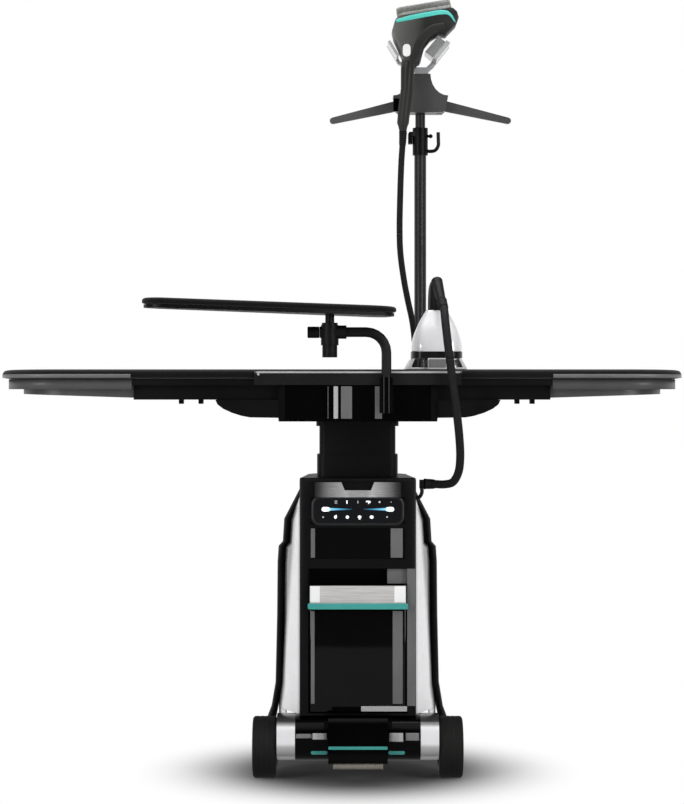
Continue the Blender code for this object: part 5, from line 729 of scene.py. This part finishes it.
# the painted reflections, as thin plates on the front
add_piece("panel_painted_reflections", [inlay(FASCIA_FRONT, place) for place in FASCIA_REFLECTION_STRIPS], tape_and_reflection_grey,
          "root", "front_panel")
add_piece("frame_stile_painted_reflections", [inlay(FRAME_FRONT, STILE_REFLECTION_STRIP),
                                plate(*RECESS_REFLECTION_PATCH, 0.0010, 0.0003)], tape_and_reflection_grey, "root",
          "front_frame")
add_piece("frame_foot_painted_reflection", [inlay(FRAME_FRONT, FOOT_REFLECTION_STRIP, 0.0008, 0.0020, 0.0005)],
          highlight_and_screw_grey, "root", "front_frame")

# Display lights: two tapering light bars that run from white to deep blue towards the middle,
# and two rows of plain symbols, printed in white, teal and red ink on the glass. The inks glow
# a little, as a backlit screen does.
TOP_ROW, LOW_ROW = 0.5303, 0.5019
BAR_Z = 0.5167
BAR_OUTER, BAR_INNER = 0.0690, 0.0105
BAR_STOPS = ((0.0, "#041a2c"), (0.35, "#2f7fa6"), (0.70, "#6fb6d2"), (0.80, "#f4fbff"),
             (1.0, "#ffffff"))
WHITE_SYMBOLS = ((0.0093, TOP_ROW, 0.0012, 0.0034), (0.0482, TOP_ROW + 0.0012, 0.0030, 0.0014),
                 (0.0518, TOP_ROW + 0.0002, 0.0026, 0.0022),
                 (0.0500, TOP_ROW - 0.0026, 0.0008, 0.0010), (-0.0125, LOW_ROW, 0.0026, 0.0031),
                 (0.0102, LOW_ROW, 0.0031, 0.0031), (0.0333, LOW_ROW, 0.0034, 0.0031),
                 (0.0562, LOW_ROW, 0.0036, 0.0031), (-0.0108, LOW_ROW + 0.0022, 0.0009, 0.0020),
                 (0.0333, LOW_ROW - 0.0040, 0.0020, 0.0005))
TEAL_SYMBOLS = ((-0.0114, TOP_ROW - 0.0022, 0.0026, 0.0006), (-0.0114, TOP_ROW, 0.0026, 0.0006),
                (-0.0114, TOP_ROW + 0.0022, 0.0026, 0.0006), (0.0301, TOP_ROW, 0.0009, 0.0028),
                (0.0712, TOP_ROW, 0.0020, 0.0020), (-0.0358, LOW_ROW, 0.0017, 0.0017),
                (0.0854, LOW_ROW, 0.0017, 0.0017))
INK_SPECKS_PER_METRE = 900.0
RED_SYMBOLS = ((0.0930, TOP_ROW, 0.0010, 0.0010),)


def glow(name, colour, strength):
    """Printed or lit symbol: the ink's own colour, and that much light of it."""
    material, tree, shader = new_material(name)
    coords = node(tree, "ShaderNodeTexCoord")
    speck = node(tree, "ShaderNodeTexNoise", {"Vector": coords.outputs["Object"],
                                              "Scale": INK_SPECKS_PER_METRE})
    tint = node(tree, "ShaderNodeMix", {"Factor": speck, "A": linear(colour), "B": WHITE},
                data_type="RGBA")
    fill(shader, {"Base Color": tint, "Emission Color": linear(colour),
                  "Emission Strength": strength, "Roughness": 0.3})
    return material


def symbol(x, z, half_u, half_v):
    """A printed dot or dash 0.2 mm proud of the glass."""
    return inlay(FASCIA_FRONT, (x - half_u, x + half_u, z - half_v, z + half_v), 0.0002,
                 min(half_u, half_v), 0.0001, 0.001, 1)


bar_light, tree, shader = new_material("white_to_blue_light_bar")
fade = node(tree, "ShaderNodeMapRange", {"Value": aside(tree, object_place(tree)),
                                         "From Min": BAR_INNER, "From Max": BAR_OUTER})
ramp = graded(tree, fade, BAR_STOPS)
fill(shader, {"Base Color": ramp, "Emission Color": ramp, "Emission Strength": 0.6})
# a bar: half height h(t) from 1 mm at the middle to 5 mm at the round outer end, over a flat oval
t = np.linspace(0, 1, 41)
half_height = 0.0009 + 0.0024 * t ** 1.2 + 0.0016 * np.clip((t - 0.72) / 0.05, 0, 1)
half_height *= np.sqrt(np.clip(1 - ((t - 0.90) / 0.10).clip(0) ** 2, 0.0004, 1))
way = np.linspace(0, 2 * math.pi, 16, endpoint=False)
bars = [spread((STATION_X + side * (BAR_INNER + (BAR_OUTER - BAR_INNER) * t))[:, None],
               FASCIA_FRONT + 0.0001 - 0.0005 * np.cos(way),
               BAR_Z + half_height[:, None] * np.sin(way)) for side in (-1, 1)]
add_piece("display_light_bars", bars, bar_light, "root", "display_glass")
for name, places, ink in (
        ("display_white_symbols", WHITE_SYMBOLS, glow("white_screen_ink", "#e9eef0", 0.55)),
        ("display_teal_symbols", TEAL_SYMBOLS, glow("teal_screen_ink", "#2d5f66", 0.25)),
        ("display_red_symbol", RED_SYMBOLS, glow("red_screen_ink", "#6a1418", 0.3))):
    add_piece(name, [symbol(*place) for place in places], ink, "root", "display_glass")

# Water tank: a gloss front on a smoked tank, a brushed grip plate with polished ends, and a teal
# lip under it. Grey strips down both sides of its front are painted reflections. The whole unit
# slides out forwards.
TANK_FRONT = -0.1147
HANDLE_FACE = -0.1247
HANDLE_ENDS = ((-0.0600, -0.0420, 0.3410, 0.3717), (0.0990, 0.1200, 0.3410, 0.3717))
TEAL_LIP = ((-0.0648, -0.1305, 0.3283), (0.1248, -0.1180, 0.3398))
# painted reflections down both sides of the tank's front
TANK_REFLECTION_STRIPS = ((-0.0590, -0.0520, 0.1480, 0.3240), (0.0960, 0.1150, 0.1480, 0.3240))
tank_wall = surface("smoked_clear_styrene", "#050506", "#09090a", 0.08, 0.0030, 0.00002,
                    specular=0.35)
brushed_grip = surface("brushed_stainless_grip", "#b2b0ae", "#dedcda", 0.24, 0.0009, 0.00005,
                       metallic=0.15, stretch=(0.02, 1, 1))
polished = surface("polished_silver_end", "#f6f8f8", "#ffffff", 0.18, 0.0010, 0.00002,
                   metallic=0.1, coat=0.5)
dress(tank_wall, "water_tank")
dress(brushed_grip, "tank_handle")
dress(satin_black, "tank_lid")
add_piece("handle_polished_ends", [inlay(HANDLE_FACE, place, 0.0005, 0.0008, deep=0.002)
                                   for place in HANDLE_ENDS], polished, "tank", "tank_handle")
add_piece("handle_teal_lip", [plate(*TEAL_LIP, 0.0030, 0.0008)], teal_abs, "tank",
          "tank_handle")
# painted reflections on the tank's front
add_piece("tank_painted_reflections", [inlay(TANK_FRONT, place) for place in TANK_REFLECTION_STRIPS], tape_and_reflection_grey,
          "tank", "water_tank")

# Inside: the circuit board under its green solder mask, the brushed steel boiler, and the gas
# spring in the column, a bright rod in a black tube. The hose socket behind is black ABS.
board_green = surface("green_solder_mask", "#0d3b22", "#145a34", 0.35, 0.0015, 0.00005)
boiler_steel = surface("brushed_boiler_steel", "#8d9092", "#b4b6b8", 0.32, 0.0010, 0.00004,
                       metallic=1.0, stretch=(0.1, 1, 1))
dress(board_green, "control_board")
dress(boiler_steel, "boiler", "gas_spring_rod")
dress(satin_black, "gas_spring_tube", "hose_socket")

# Column, cradle and hub cover: a powder-coated outer and inner steel tube, and the moulded hub
# that carries the board. The hub's nose is gloss black; the upright grey and bright strips on it
# are painted reflections.
NOSE_FRONT = -0.1712
NOSE_LOW, NOSE_HIGH = 0.6890, 0.7495
# painted reflections on the nose: grey strips, left and right of each, and one bright strip
NOSE_GREY_REFLECTIONS = ((-0.0267, -0.0255), (-0.0019, 0.0187), (0.0617, 0.0748))
NOSE_BRIGHT_REFLECTION = (-0.0157, -0.0075)
powder_black = surface("black_powder_coated_steel", "#080808", "#101010", 0.5, 0.0009, 0.00012,
                       specular=0.2)
dress(powder_black, "outer_column", "inner_column")
dress(satin_black, "board_cradle")
dress(gloss_black, "hub_cover")
# the nose's painted reflections
add_piece("nose_grey_painted_reflections", [inlay(NOSE_FRONT, (*sides, NOSE_LOW, NOSE_HIGH), 0.0005)
                               for sides in NOSE_GREY_REFLECTIONS], tape_and_reflection_grey, "board", "hub_cover")
add_piece("nose_bright_painted_reflection", [inlay(NOSE_FRONT, (*NOSE_BRIGHT_REFLECTION, NOSE_LOW, NOSE_HIGH), 0.0006)],
          highlight_and_screw_grey, "board", "hub_cover")

# Board: a black moulded frame with dark grey end covers and a graphite bumper bar in front, which
# carries a painted highlight along its top edge and a small screw head. Grey tape is sewn round
# both ends of the cover, and four latches hang under the frame's edge.
BOARD_HALF_X, BOARD_HALF_Y, BOARD_CORNER = 0.650, 0.200, 0.105
LEAST_CORNER = 0.02
TAPE_FROM = 0.394
TAPE_BAND = (0.0, 0.0006, 0.7655, 0.7725)
RIM_BAND = (0.0120, 0.0005, 0.7440, 0.7626)
BAND_DEPTH = 0.0020
OUTLINE_POINTS, BAND_POINTS = 880, 300
LATCHES_X = (-0.3075, -0.270, 0.335, 0.364)
LATCH_HALF, LATCH_FRONT, LATCH_BACK = 0.0045, -0.0760, -0.0560
LATCH_LOW, LATCH_HIGH = 0.7160, 0.7300
# painted highlight along the bumper's top edge, as a thin strip
LIP_HIGHLIGHT_LINE = ((-0.1600, -0.1726, 0.7742), (0.2200, -0.1690, 0.7776))
LIP_SCREW = ((-0.1590, -0.1730, 0.7700), (-0.1540, -0.1690, 0.7745))


def evened_loop(outline, count):
    """A closed outline resampled to count points an equal way apart."""
    return evened(np.vstack([outline, outline[:1]]), count + 1)[:-1]


def board_outline(inset):
    """The board from above, drawn in by inset, about its own middle."""
    return ring(BOARD_HALF_X - inset, BOARD_HALF_Y - inset,
                max(BOARD_CORNER - inset, LEAST_CORNER), 12)


def end_band(side, inset, thickness, low, high):
    """Band round one end of the board: the outline's points beyond TAPE_FROM, between two
    heights, from the inset outwards by the thickness."""
    loops = []
    for draw in (inset - thickness, inset + BAND_DEPTH):
        line = evened_loop(board_outline(draw), OUTLINE_POINTS)
        line = line[side * line[:, 0] > TAPE_FROM]
        line = line[np.argsort(np.arctan2(line[:, 1], side * line[:, 0] - TAPE_FROM))]
        loops.append(evened(line, BAND_POINTS))
    rows = [(loops[0], low), (loops[0], high), (loops[1], high), (loops[1], low)]
    return np.stack([spread(line[:, 0], line[:, 1] + STATION_Y, level)
                     for line, level in rows], 1)


graphite = surface("graphite_grey_abs", "#454546", "#545455", 0.38, 0.0010, 0.00008)
lip_grey = surface("satin_graphite_bumper", "#171718", "#202021", 0.30, 0.0012, 0.00004,
                   specular=0.3)
dress(satin_black, "board_frame")
dress(graphite, "end_cover_left", "end_cover_right")
dress(lip_grey, "front_lip")
# the bumper's painted highlight, and its screw head
add_piece("lip_painted_highlight_and_screw", [plate(*LIP_HIGHLIGHT_LINE, 0.0012, 0.0004),
                             plate(*LIP_SCREW, 0.0022, 0.0006)], highlight_and_screw_grey, "board",
          "front_lip")
add_piece("under_board_latches", [
    plate((x - LATCH_HALF, LATCH_FRONT, LATCH_LOW), (x + LATCH_HALF, LATCH_BACK, LATCH_HIGH),
          0.0012, 0.0008) for x in LATCHES_X], satin_black, "board", "board_frame")
for name, side in (("left", -1), ("right", 1)):
    add_piece("end_tape_" + name, [end_band(side, *TAPE_BAND)], tape_and_reflection_grey, "board",
              "board_frame")
    add_piece("end_rim_" + name, [end_band(side, *RIM_BAND)], graphite, "board", "board_frame")

# Covers: a felt pad in a black cotton cover whose drawcord gathers its edge under the board.
# The real weave is 0.5 mm; it is drawn at 1.8 mm so that it shows.
WEAVE_PITCH = 0.0018
GATHER_DEPTH = 0.0006
POINTS_PER_GATHER = 4
PAD_LOW, PAD_THICK = 0.7636, 0.0186
EDGE_ROWS = [(0.75, 0.0), (0.10, 0.12), (0.0, 0.42), (0.10, 0.70), (0.42, 0.87), (1.30, 0.945)]
PAD_ROWS = EDGE_ROWS + [(3.60, 0.985), (6.9, 1.0)]


def woven_cover(name, dark, light):
    """Woven cotton: warp and weft as two sets of waves at right angles in the cloth's plane."""
    material, tree, shader = new_material(name)
    coords = node(tree, "ShaderNodeTexCoord")
    threads = [node(tree, "ShaderNodeTexWave", {"Vector": coords.outputs["Object"],
                                                "Scale": math.pi / 10 / WEAVE_PITCH,
                                                "Distortion": 0.8, "Detail": 1.0},
                    bands_direction=way).outputs["Fac"] for way in ("X", "Y")]
    weave = node(tree, "ShaderNodeMath", {0: threads[0], 1: threads[1]}, operation="MULTIPLY")
    wear = node(tree, "ShaderNodeTexNoise", {"Vector": coords.outputs["Object"], "Scale": 11.0,
                                             "Detail": 4.0})
    mixed = node(tree, "ShaderNodeMath", {0: weave, 1: wear}, operation="MULTIPLY")
    two_tone(tree, shader, mixed, dark, light, weave, 0.6, 0.0004)
    fill(shader, {"Roughness": 0.85, "Specular IOR Level": 0.15, "Sheen Weight": 0.12})
    return material


def padded_cover(name, outline_at, low, thick, rows, count, body, node_name, place=None):
    """Pad in its cover: the outline drawn in by each row's inset at its level, both shares of
    the thickness, with gathers g(1 + cos) / 2 round the lower edge, fading out at half height."""
    made = []
    for inset, level in curve(rows, 4):
        flat = evened_loop(outline_at(inset * thick), count)
        way = np.roll(flat, -1, 0) - np.roll(flat, 1, 0)
        way /= np.linalg.norm(way, axis=1, keepdims=True)
        inward = np.stack([-way[:, 1], way[:, 0]], 1)
        gather = GATHER_DEPTH * (1 + np.cos(np.arange(count) * 2 * math.pi
                                            * (count // POINTS_PER_GATHER) / count)) / 2
        flat = flat + inward * (gather * max(0.0, 1 - 2 * level))[:, None]
        made.append(spread(flat[:, 0], flat[:, 1], low + level * thick))
    grid = np.array(made)
    if place is not None:
        grid = grid @ place[0].T + place[1]
    piece = add_piece(name, [grid], cover_black, body, node_name, node_name)


cover_black = woven_cover("black_cotton_board_cover", "#070707", "#161617")
padded_cover("board_cover", lambda inset: board_outline(inset) + (0, STATION_Y), PAD_LOW,
             PAD_THICK, PAD_ROWS, OUTLINE_POINTS, "board", "board_pad")

# Sleeve board: a bent powder-coated tube with a clamp and knob, and a small board on a post
# under its pad, in the same gathered cotton as the board's.
SLEEVE_ORIGIN = np.array([-0.0228, -0.186706, 0.8925])
SLEEVE_TURN, SLEEVE_TILT = math.radians(14), math.radians(1.66)
SLEEVE_PAD_LOW, SLEEVE_PAD_THICK = -0.003075, 0.0135
SLEEVE_ROWS = EDGE_ROWS + [(2.1, 0.985)]
NOSE_X, NOSE_RADIUS = -0.317, 0.036
HEEL_X, HEEL_HALF_Y, HEEL_RADIUS = 0.09075, 0.02475, 0.03025
MOST_INSET = 0.0288
SLEEVE_POINTS = 360


def sleeve_outline(inset):
    """The sleeve board from above: a round nose, straight flanks and two heel corners."""
    inset = min(inset, MOST_INSET)
    angle = np.linspace(math.pi / 2, 3 * math.pi / 2, 25)
    nose = np.stack([NOSE_X + (NOSE_RADIUS - inset) * np.cos(angle),
                     (NOSE_RADIUS - inset) * np.sin(angle)], 1)
    corner = []
    for side, begin in ((-1, -math.pi / 2), (1, 0.0)):
        angle = np.linspace(begin, begin + math.pi / 2, 10)
        corner.append(np.stack([HEEL_X - inset + HEEL_RADIUS * np.cos(angle),
                                side * (HEEL_HALF_Y - inset) + HEEL_RADIUS * np.sin(angle)], 1))
    return np.vstack([nose] + corner)


dress(powder_black, "sleeve_arm")
dress(satin_black, "clamp_knob", "sleeve_board")
cos_turn, sin_turn = math.cos(SLEEVE_TURN), math.sin(SLEEVE_TURN)
cos_tilt, sin_tilt = math.cos(SLEEVE_TILT), math.sin(SLEEVE_TILT)
turn_z = np.array([[cos_turn, -sin_turn, 0], [sin_turn, cos_turn, 0], [0, 0, 1]])
tilt_y = np.array([[cos_tilt, 0, sin_tilt], [0, 1, 0], [-sin_tilt, 0, cos_tilt]])
padded_cover("sleeve_cover", sleeve_outline, SLEEVE_PAD_LOW, SLEEVE_PAD_THICK, SLEEVE_ROWS,
             SLEEVE_POINTS, "sleeve_board", "sleeve_pad", (turn_z @ tilt_y, SLEEVE_ORIGIN))

# Iron: a black ceramic sole, a bright silver-lacquered shell, a loop handle and a steam trigger,
# on a white heat-proof silicone rest whose heel block shows a grey face. The handle is matt
# phenolic, and soft ribbed guards keep the hoses from kinking where they enter.
IRON_X = 0.1805
IRON_HALF_WIDTH = 0.049
IRON_HEEL, IRON_NOSE = -0.114706, 0.150294
IRON_LOW, IRON_HIGH = 0.8156, 0.8950
IRON_POINTS = 120
# each row: level, and as shares the width and how far the heel and the nose are drawn in
IRON_ROWS = [(0.0, 0.97, 0.0, 0.02), (0.16, 0.98, 0.005, 0.06), (0.38, 0.90, 0.02, 0.16),
             (0.60, 0.76, 0.04, 0.28), (0.80, 0.60, 0.07, 0.38), (1.0, 0.40, 0.10, 0.44)]
GUARD_STEPS = 72
REST_FACE = ((0.1640, -0.1174, 0.7848), (0.1970, -0.1150, 0.8012))


def iron_section(level, wide, heel, nose):
    """Level section of the shell: half width w, heel corners of radius 0.55w, and flanks
    (w cos(a)^0.75, run sin(a)^0.95) up to the nose."""
    run = IRON_NOSE - IRON_HEEL
    half = IRON_HALF_WIDTH * wide
    corner = 0.55 * half
    low_y = IRON_HEEL + run * heel + corner
    long_y = IRON_NOSE - run * nose - low_y
    bend = np.linspace(-math.pi / 2, 0, 9)
    flank = np.linspace(0, math.pi / 2, 30)[1:]
    side_x = np.concatenate([half - corner + corner * np.cos(bend),
                             half * np.clip(np.cos(flank), 0, 1) ** 0.75])
    side_y = np.concatenate([low_y + corner * np.sin(bend), low_y + long_y * np.sin(flank) ** 0.95])
    line = np.vstack([np.stack([side_x, side_y], 1),
                      np.stack([-side_x[-2::-1], side_y[-2::-1]], 1)])
    line = evened_loop(line, IRON_POINTS)
    return spread(IRON_X + line[:, 0], line[:, 1], IRON_LOW + (IRON_HIGH - IRON_LOW) * level)


def hose_guard(name, line, radius, body, slot_name):
    """Ribbed strain relief over a line of hose: it tapers from 1.30 to 1.12 radii, and its ribs
    swell it by a twenty-fifth, six along its length."""
    share = np.linspace(0, 1, GUARD_STEPS + 1)
    radii = radius * (1.30 - 0.18 * share) * (1 + 0.04 * np.cos(share * 12 * math.pi))
    grid = tube_grid(evened(line, GUARD_STEPS + 1), radii, (0.3, 0.8, 0.2))[0]
    add_piece(name, [grid], grip_black, body, slot_name)


sole_black = surface("black_ceramic_sole", "#0d0d0e", "#171718", 0.25, 0.0008, 0.00002)
iron_silver = surface("silver_gloss_iron_shell", "#f4f4f6", "#fdfdff", 0.16, 0.0008, 0.00001,
                      metallic=0.15, coat=0.6)
heat_black = surface("black_heat_proof_phenolic", "#0c0c0c", "#161616", 0.55, 0.0010, 0.0001,
                     specular=0.2)
rest_white = surface("white_heat_proof_silicone", "#d8d8d8", "#ececec", 0.6, 0.0010, 0.0001)
heel_grey = surface("grey_glass_filled_nylon", "#727273", "#868687", 0.5, 0.0011, 0.00008)
grip_black = surface("black_soft_rubber", "#0c0c0c", "#161616", 0.6, 0.0010, 0.0001, specular=0.25)
dress(rest_white, "iron_rest")
dress(sole_black, "iron_soleplate")
dress(heat_black, "iron_handle")
dress(graphite, "iron_trigger")
add_piece("rest_heel_face", [plate(*REST_FACE, 0.0020, 0.0005)], heel_grey, "board",
          "iron_rest")
add_piece("iron_shell", [np.array([iron_section(*row) for row in curve(IRON_ROWS, 6)])],
          iron_silver, "iron", "iron_body", "iron_body")
hose_guard("iron_hose_guard", iron_line[:8], IRON_HOSE_RADIUS, "iron", "iron_handle")
hose_guard("elbow_hose_guard", iron_line[-1:-7:-1], IRON_HOSE_RADIUS, "root", "front_frame")
hose_guard("steamer_hose_guard", steam_line[:8], STEAM_HOSE_RADIUS, "steamer", "steamer_body")
hose_guard("socket_hose_guard", tail_line[-1:-9:-1], STEAM_HOSE_RADIUS, "root", "hose_socket")

# Garment pole: dark lacquered aluminium tubes, a clamp collar with its hook and lever, the
# hanger's hub and folding arms in graphite ABS, and the silver fork that holds the steamer,
# with soft ribs along its pad.
WING_FACE = ((0.1052, 0.2478, 1.3135), (0.1240, 0.2530, 1.3408))
PAD_FOOT, PAD_TIP = np.array([0.1762, 1.4213]), np.array([0.2028, 1.4532])
PAD_FACE_Y = 0.1856
PAD_RIBS, RIBS_HALF, RIB_DEPTH = 6, 0.0082, 0.0010
RIB_HALF_WIDTHS = (0.0014, 0.0015, 0.0014)
pole_lacquer = surface("dark_lacquered_aluminium_tube", "#222223", "#2e2e30", 0.40, 0.0010,
                       0.00003, metallic=0.3)
hub_grey = surface("graphite_hanger_abs", "#454546", "#545455", 0.40, 0.0010, 0.00008)
fork_silver = surface("silver_lacquered_fork", "#c8c9cb", "#e2e3e5", 0.28, 0.0008, 0.00002,
                      metallic=0.4, coat=0.4)
rib_grey = surface("grey_ribbed_silicone", "#7c7c7c", "#949494", 0.6, 0.0010, 0.0001)


def face_strip(places, half_widths, depth, face_y):
    """Strip that lies on a face along places in (x, z): a tube of those half widths, flattened
    to the depth about the face."""
    line = curve(places, 12)
    line = spread(line[:, 0], face_y, line[:, 1])
    widths = np.interp(np.linspace(0, 1, len(line)), np.linspace(0, 1, len(half_widths)),
                       half_widths)
    grid = tube_grid(line, widths, (0, 1, 0), 20)[0]
    grid[..., 1] = face_y + (grid[..., 1] - face_y) * depth / widths[:, None]
    return grid


dress(pole_lacquer, "pole_lower", "pole_upper")
dress(satin_black, "pole_collar", "collar_lever")
dress(hub_grey, "hanger_hub", "hanger_arm_left", "hanger_arm_right")
dress(fork_silver, "steamer_cradle")
add_piece("hub_wing_face", [plate(*WING_FACE, 0.0015, 0.0005)], gloss_black, "upper_pole",
          "hanger_hub")
# ribs along the fork's pad, side by side across its width
pad_way = (PAD_TIP - PAD_FOOT) / np.linalg.norm(PAD_TIP - PAD_FOOT)
pad_across = np.array([-pad_way[1], pad_way[0]])
ribs = [face_strip([spot + pad_across * shift for spot in
                    (PAD_FOOT + pad_way * 0.001, (PAD_FOOT + PAD_TIP) / 2,
                     PAD_TIP - pad_way * 0.001)], RIB_HALF_WIDTHS, RIB_DEPTH, PAD_FACE_Y)
        for shift in np.linspace(-RIBS_HALF, RIBS_HALF, PAD_RIBS)]
add_piece("fork_pad_ribs", ribs, rib_grey, "upper_pole", "steamer_cradle")

# Hand steamer: a grey-green shell with a teal belt, a soft black grip band, a white button, and
# a brush of nylon bristles set in a backing strip. The satin shell's colour carries painted light
# and shade: light at its left, darker to the right and in its handle, as the photo shows it.
STEAMER_FACES = (0.1773, 0.1773 + 0.0600)
SHELL_LEFT, SHELL_RIGHT, SHELL_LOW, SHELL_HIGH = 0.1010, 0.2370, 1.2690, 1.5165
# painted light and shade on the shell: lighter at the left, darker right and low in the handle
SHELL_PAINTED_SHADE_X_STOPS = ((0.0, "#ffffff"), (0.12, "#e0e0e0"), (0.35, "#b4b4b4"), (0.50, "#646464"),
                 (1.0, "#5a5a5a"))
SHELL_PAINTED_SHADE_Z_STOPS = ((0.0, "#8c8c8c"), (0.50, "#8c8c8c"), (0.62, "#ffffff"), (1.0, "#ffffff"))
BELT_PLACES = [(0.1095, 1.4880), (0.1400, 1.4955), (0.1750, 1.5022), (0.2030, 1.5062),
               (0.2180, 1.5020), (0.2290, 1.4860)]
BELT_HALF_WIDTHS = (0.0030, 0.0048, 0.0048, 0.0046, 0.0030, 0.0012)
GRIP_PLACES = [(0.1400, 1.3960), (0.1450, 1.4080), (0.1510, 1.4240), (0.1575, 1.4420),
               (0.1690, 1.4590), (0.1850, 1.4715), (0.2080, 1.4790)]
GRIP_HALF_WIDTHS = (0.0040, 0.0090, 0.0100, 0.0100, 0.0100, 0.0100, 0.0070)
BELT_DEPTH, GRIP_DEPTH = 0.0012, 0.0026
BRUSH_START, BRUSH_END = np.array([0.1130, 1.4985]), np.array([0.2225, 1.5165])
BRUSH_Y, BRUSH_HALF_DEPTH, BRUSH_CORNER = 0.207294, 0.0265, 0.012
BRISTLE_COLUMNS, BRISTLE_ROWS = 46, 20
BRISTLE_MARGIN = 0.0005
BRISTLE_ROOT, BRISTLE_WAIST, BRISTLE_TIP = 0.0055, 0.0120, 0.0182
BACKING_PROFILE = ((0.0004, 0.0), (0.0, 0.001), (0.0, 0.005), (0.0010, 0.006))
brush_length = np.linalg.norm(BRUSH_END - BRUSH_START)
brush_run = (BRUSH_END - BRUSH_START) / brush_length
brush_rise = np.array([-brush_run[1], brush_run[0]])


def on_brush(along, across, rise):
    """A place on the brush: along its slanted line, across its depth and up out of its back."""
    flat = (BRUSH_START + np.ravel(along)[:, None] * brush_run
            + np.ravel(rise)[:, None] * brush_rise)
    return spread(flat[:, 0], BRUSH_Y + np.ravel(across),
                  flat[:, 1]).reshape(np.shape(along) + (3,))


shell_grey = surface("grey_green_gloss_abs_painted_shade", "#626360", "#72736e", 0.44, 0.0010, 0.00003,
                     specular=0.3)
button_white = surface("white_gloss_abs", "#eeeeec", "#ffffff", 0.25, 0.0010, 0.00002)
bristle_nylon = surface("grey_nylon_bristles", "#747571", "#c8c9c4", 0.6, 0.0012, 0.00005,
                        stretch=(1, 1, 0.1))
teal_light = surface("light_teal_gloss_abs", "#4cc6b8", "#66d8cb", 0.22, 0.0020, 0.00002)
handle_black = surface("black_soft_grip_coat", "#262625", "#30302e", 0.50, 0.0010, 0.00005,
                       specular=0.25)
# painted light and shade on the shell's colour
shade_along(shell_grey, "X", SHELL_LEFT, SHELL_RIGHT, SHELL_PAINTED_SHADE_X_STOPS)
shade_along(shell_grey, "Z", SHELL_LOW, SHELL_HIGH, SHELL_PAINTED_SHADE_Z_STOPS)
dress(shell_grey, "steamer_body")
dress(button_white, "steamer_button")
add_piece("steamer_teal_belt", [face_strip(BELT_PLACES, BELT_HALF_WIDTHS, BELT_DEPTH, face)
                                for face in STEAMER_FACES], teal_light, "steamer", "steamer_body")
add_piece("steamer_grip_band", [face_strip(GRIP_PLACES, GRIP_HALF_WIDTHS, GRIP_DEPTH, face)
                                for face in STEAMER_FACES], handle_black, "steamer",
          "steamer_body")
back_rows = []
for inset, rise in BACKING_PROFILE:
    flat = ring(brush_length / 2 - inset, BRUSH_HALF_DEPTH - inset, BRUSH_CORNER, 8)
    back_rows.append(on_brush(flat[:, 0] + brush_length / 2, flat[:, 1],
                              np.full(len(flat), rise)))
bristles = [np.array(back_rows)]
turn = np.linspace(0, 2 * math.pi, 6, endpoint=False)
# every second row of bristles stands a quarter of a step aside
for column in range(BRISTLE_COLUMNS):
    for row in range(BRISTLE_ROWS):
        u = (column + 0.5 + 0.25 * (row % 2)) / (BRISTLE_COLUMNS + 0.5) * brush_length
        v = ((row + 0.5) / BRISTLE_ROWS * 2 - 1) * BRUSH_HALF_DEPTH
        if math.hypot(max(0, abs(u - brush_length / 2) - brush_length / 2 + BRUSH_CORNER),
                      max(0, abs(v) - BRUSH_HALF_DEPTH + BRUSH_CORNER)) > (
                          BRUSH_CORNER - BRISTLE_MARGIN):
            continue
        # a bristle: radius 0.9 mm at its root, 0.6 mm at its tip, its height drifts by 0.3 mm
        high = BRISTLE_TIP + 0.0003 * math.sin(7.1 * column + 3.7 * row)
        radius = np.array([0.0009, 0.0008, 0.0006])[:, None]
        bristles.append(on_brush(u + radius * np.cos(turn), v + radius * np.sin(turn),
                                 np.array([BRISTLE_ROOT, BRISTLE_WAIST, high])[:, None]
                                 + 0 * turn))
brush = add_piece("bristle_brush", bristles, bristle_nylon, "steamer", "steamer_brush",
                  "steamer_brush")
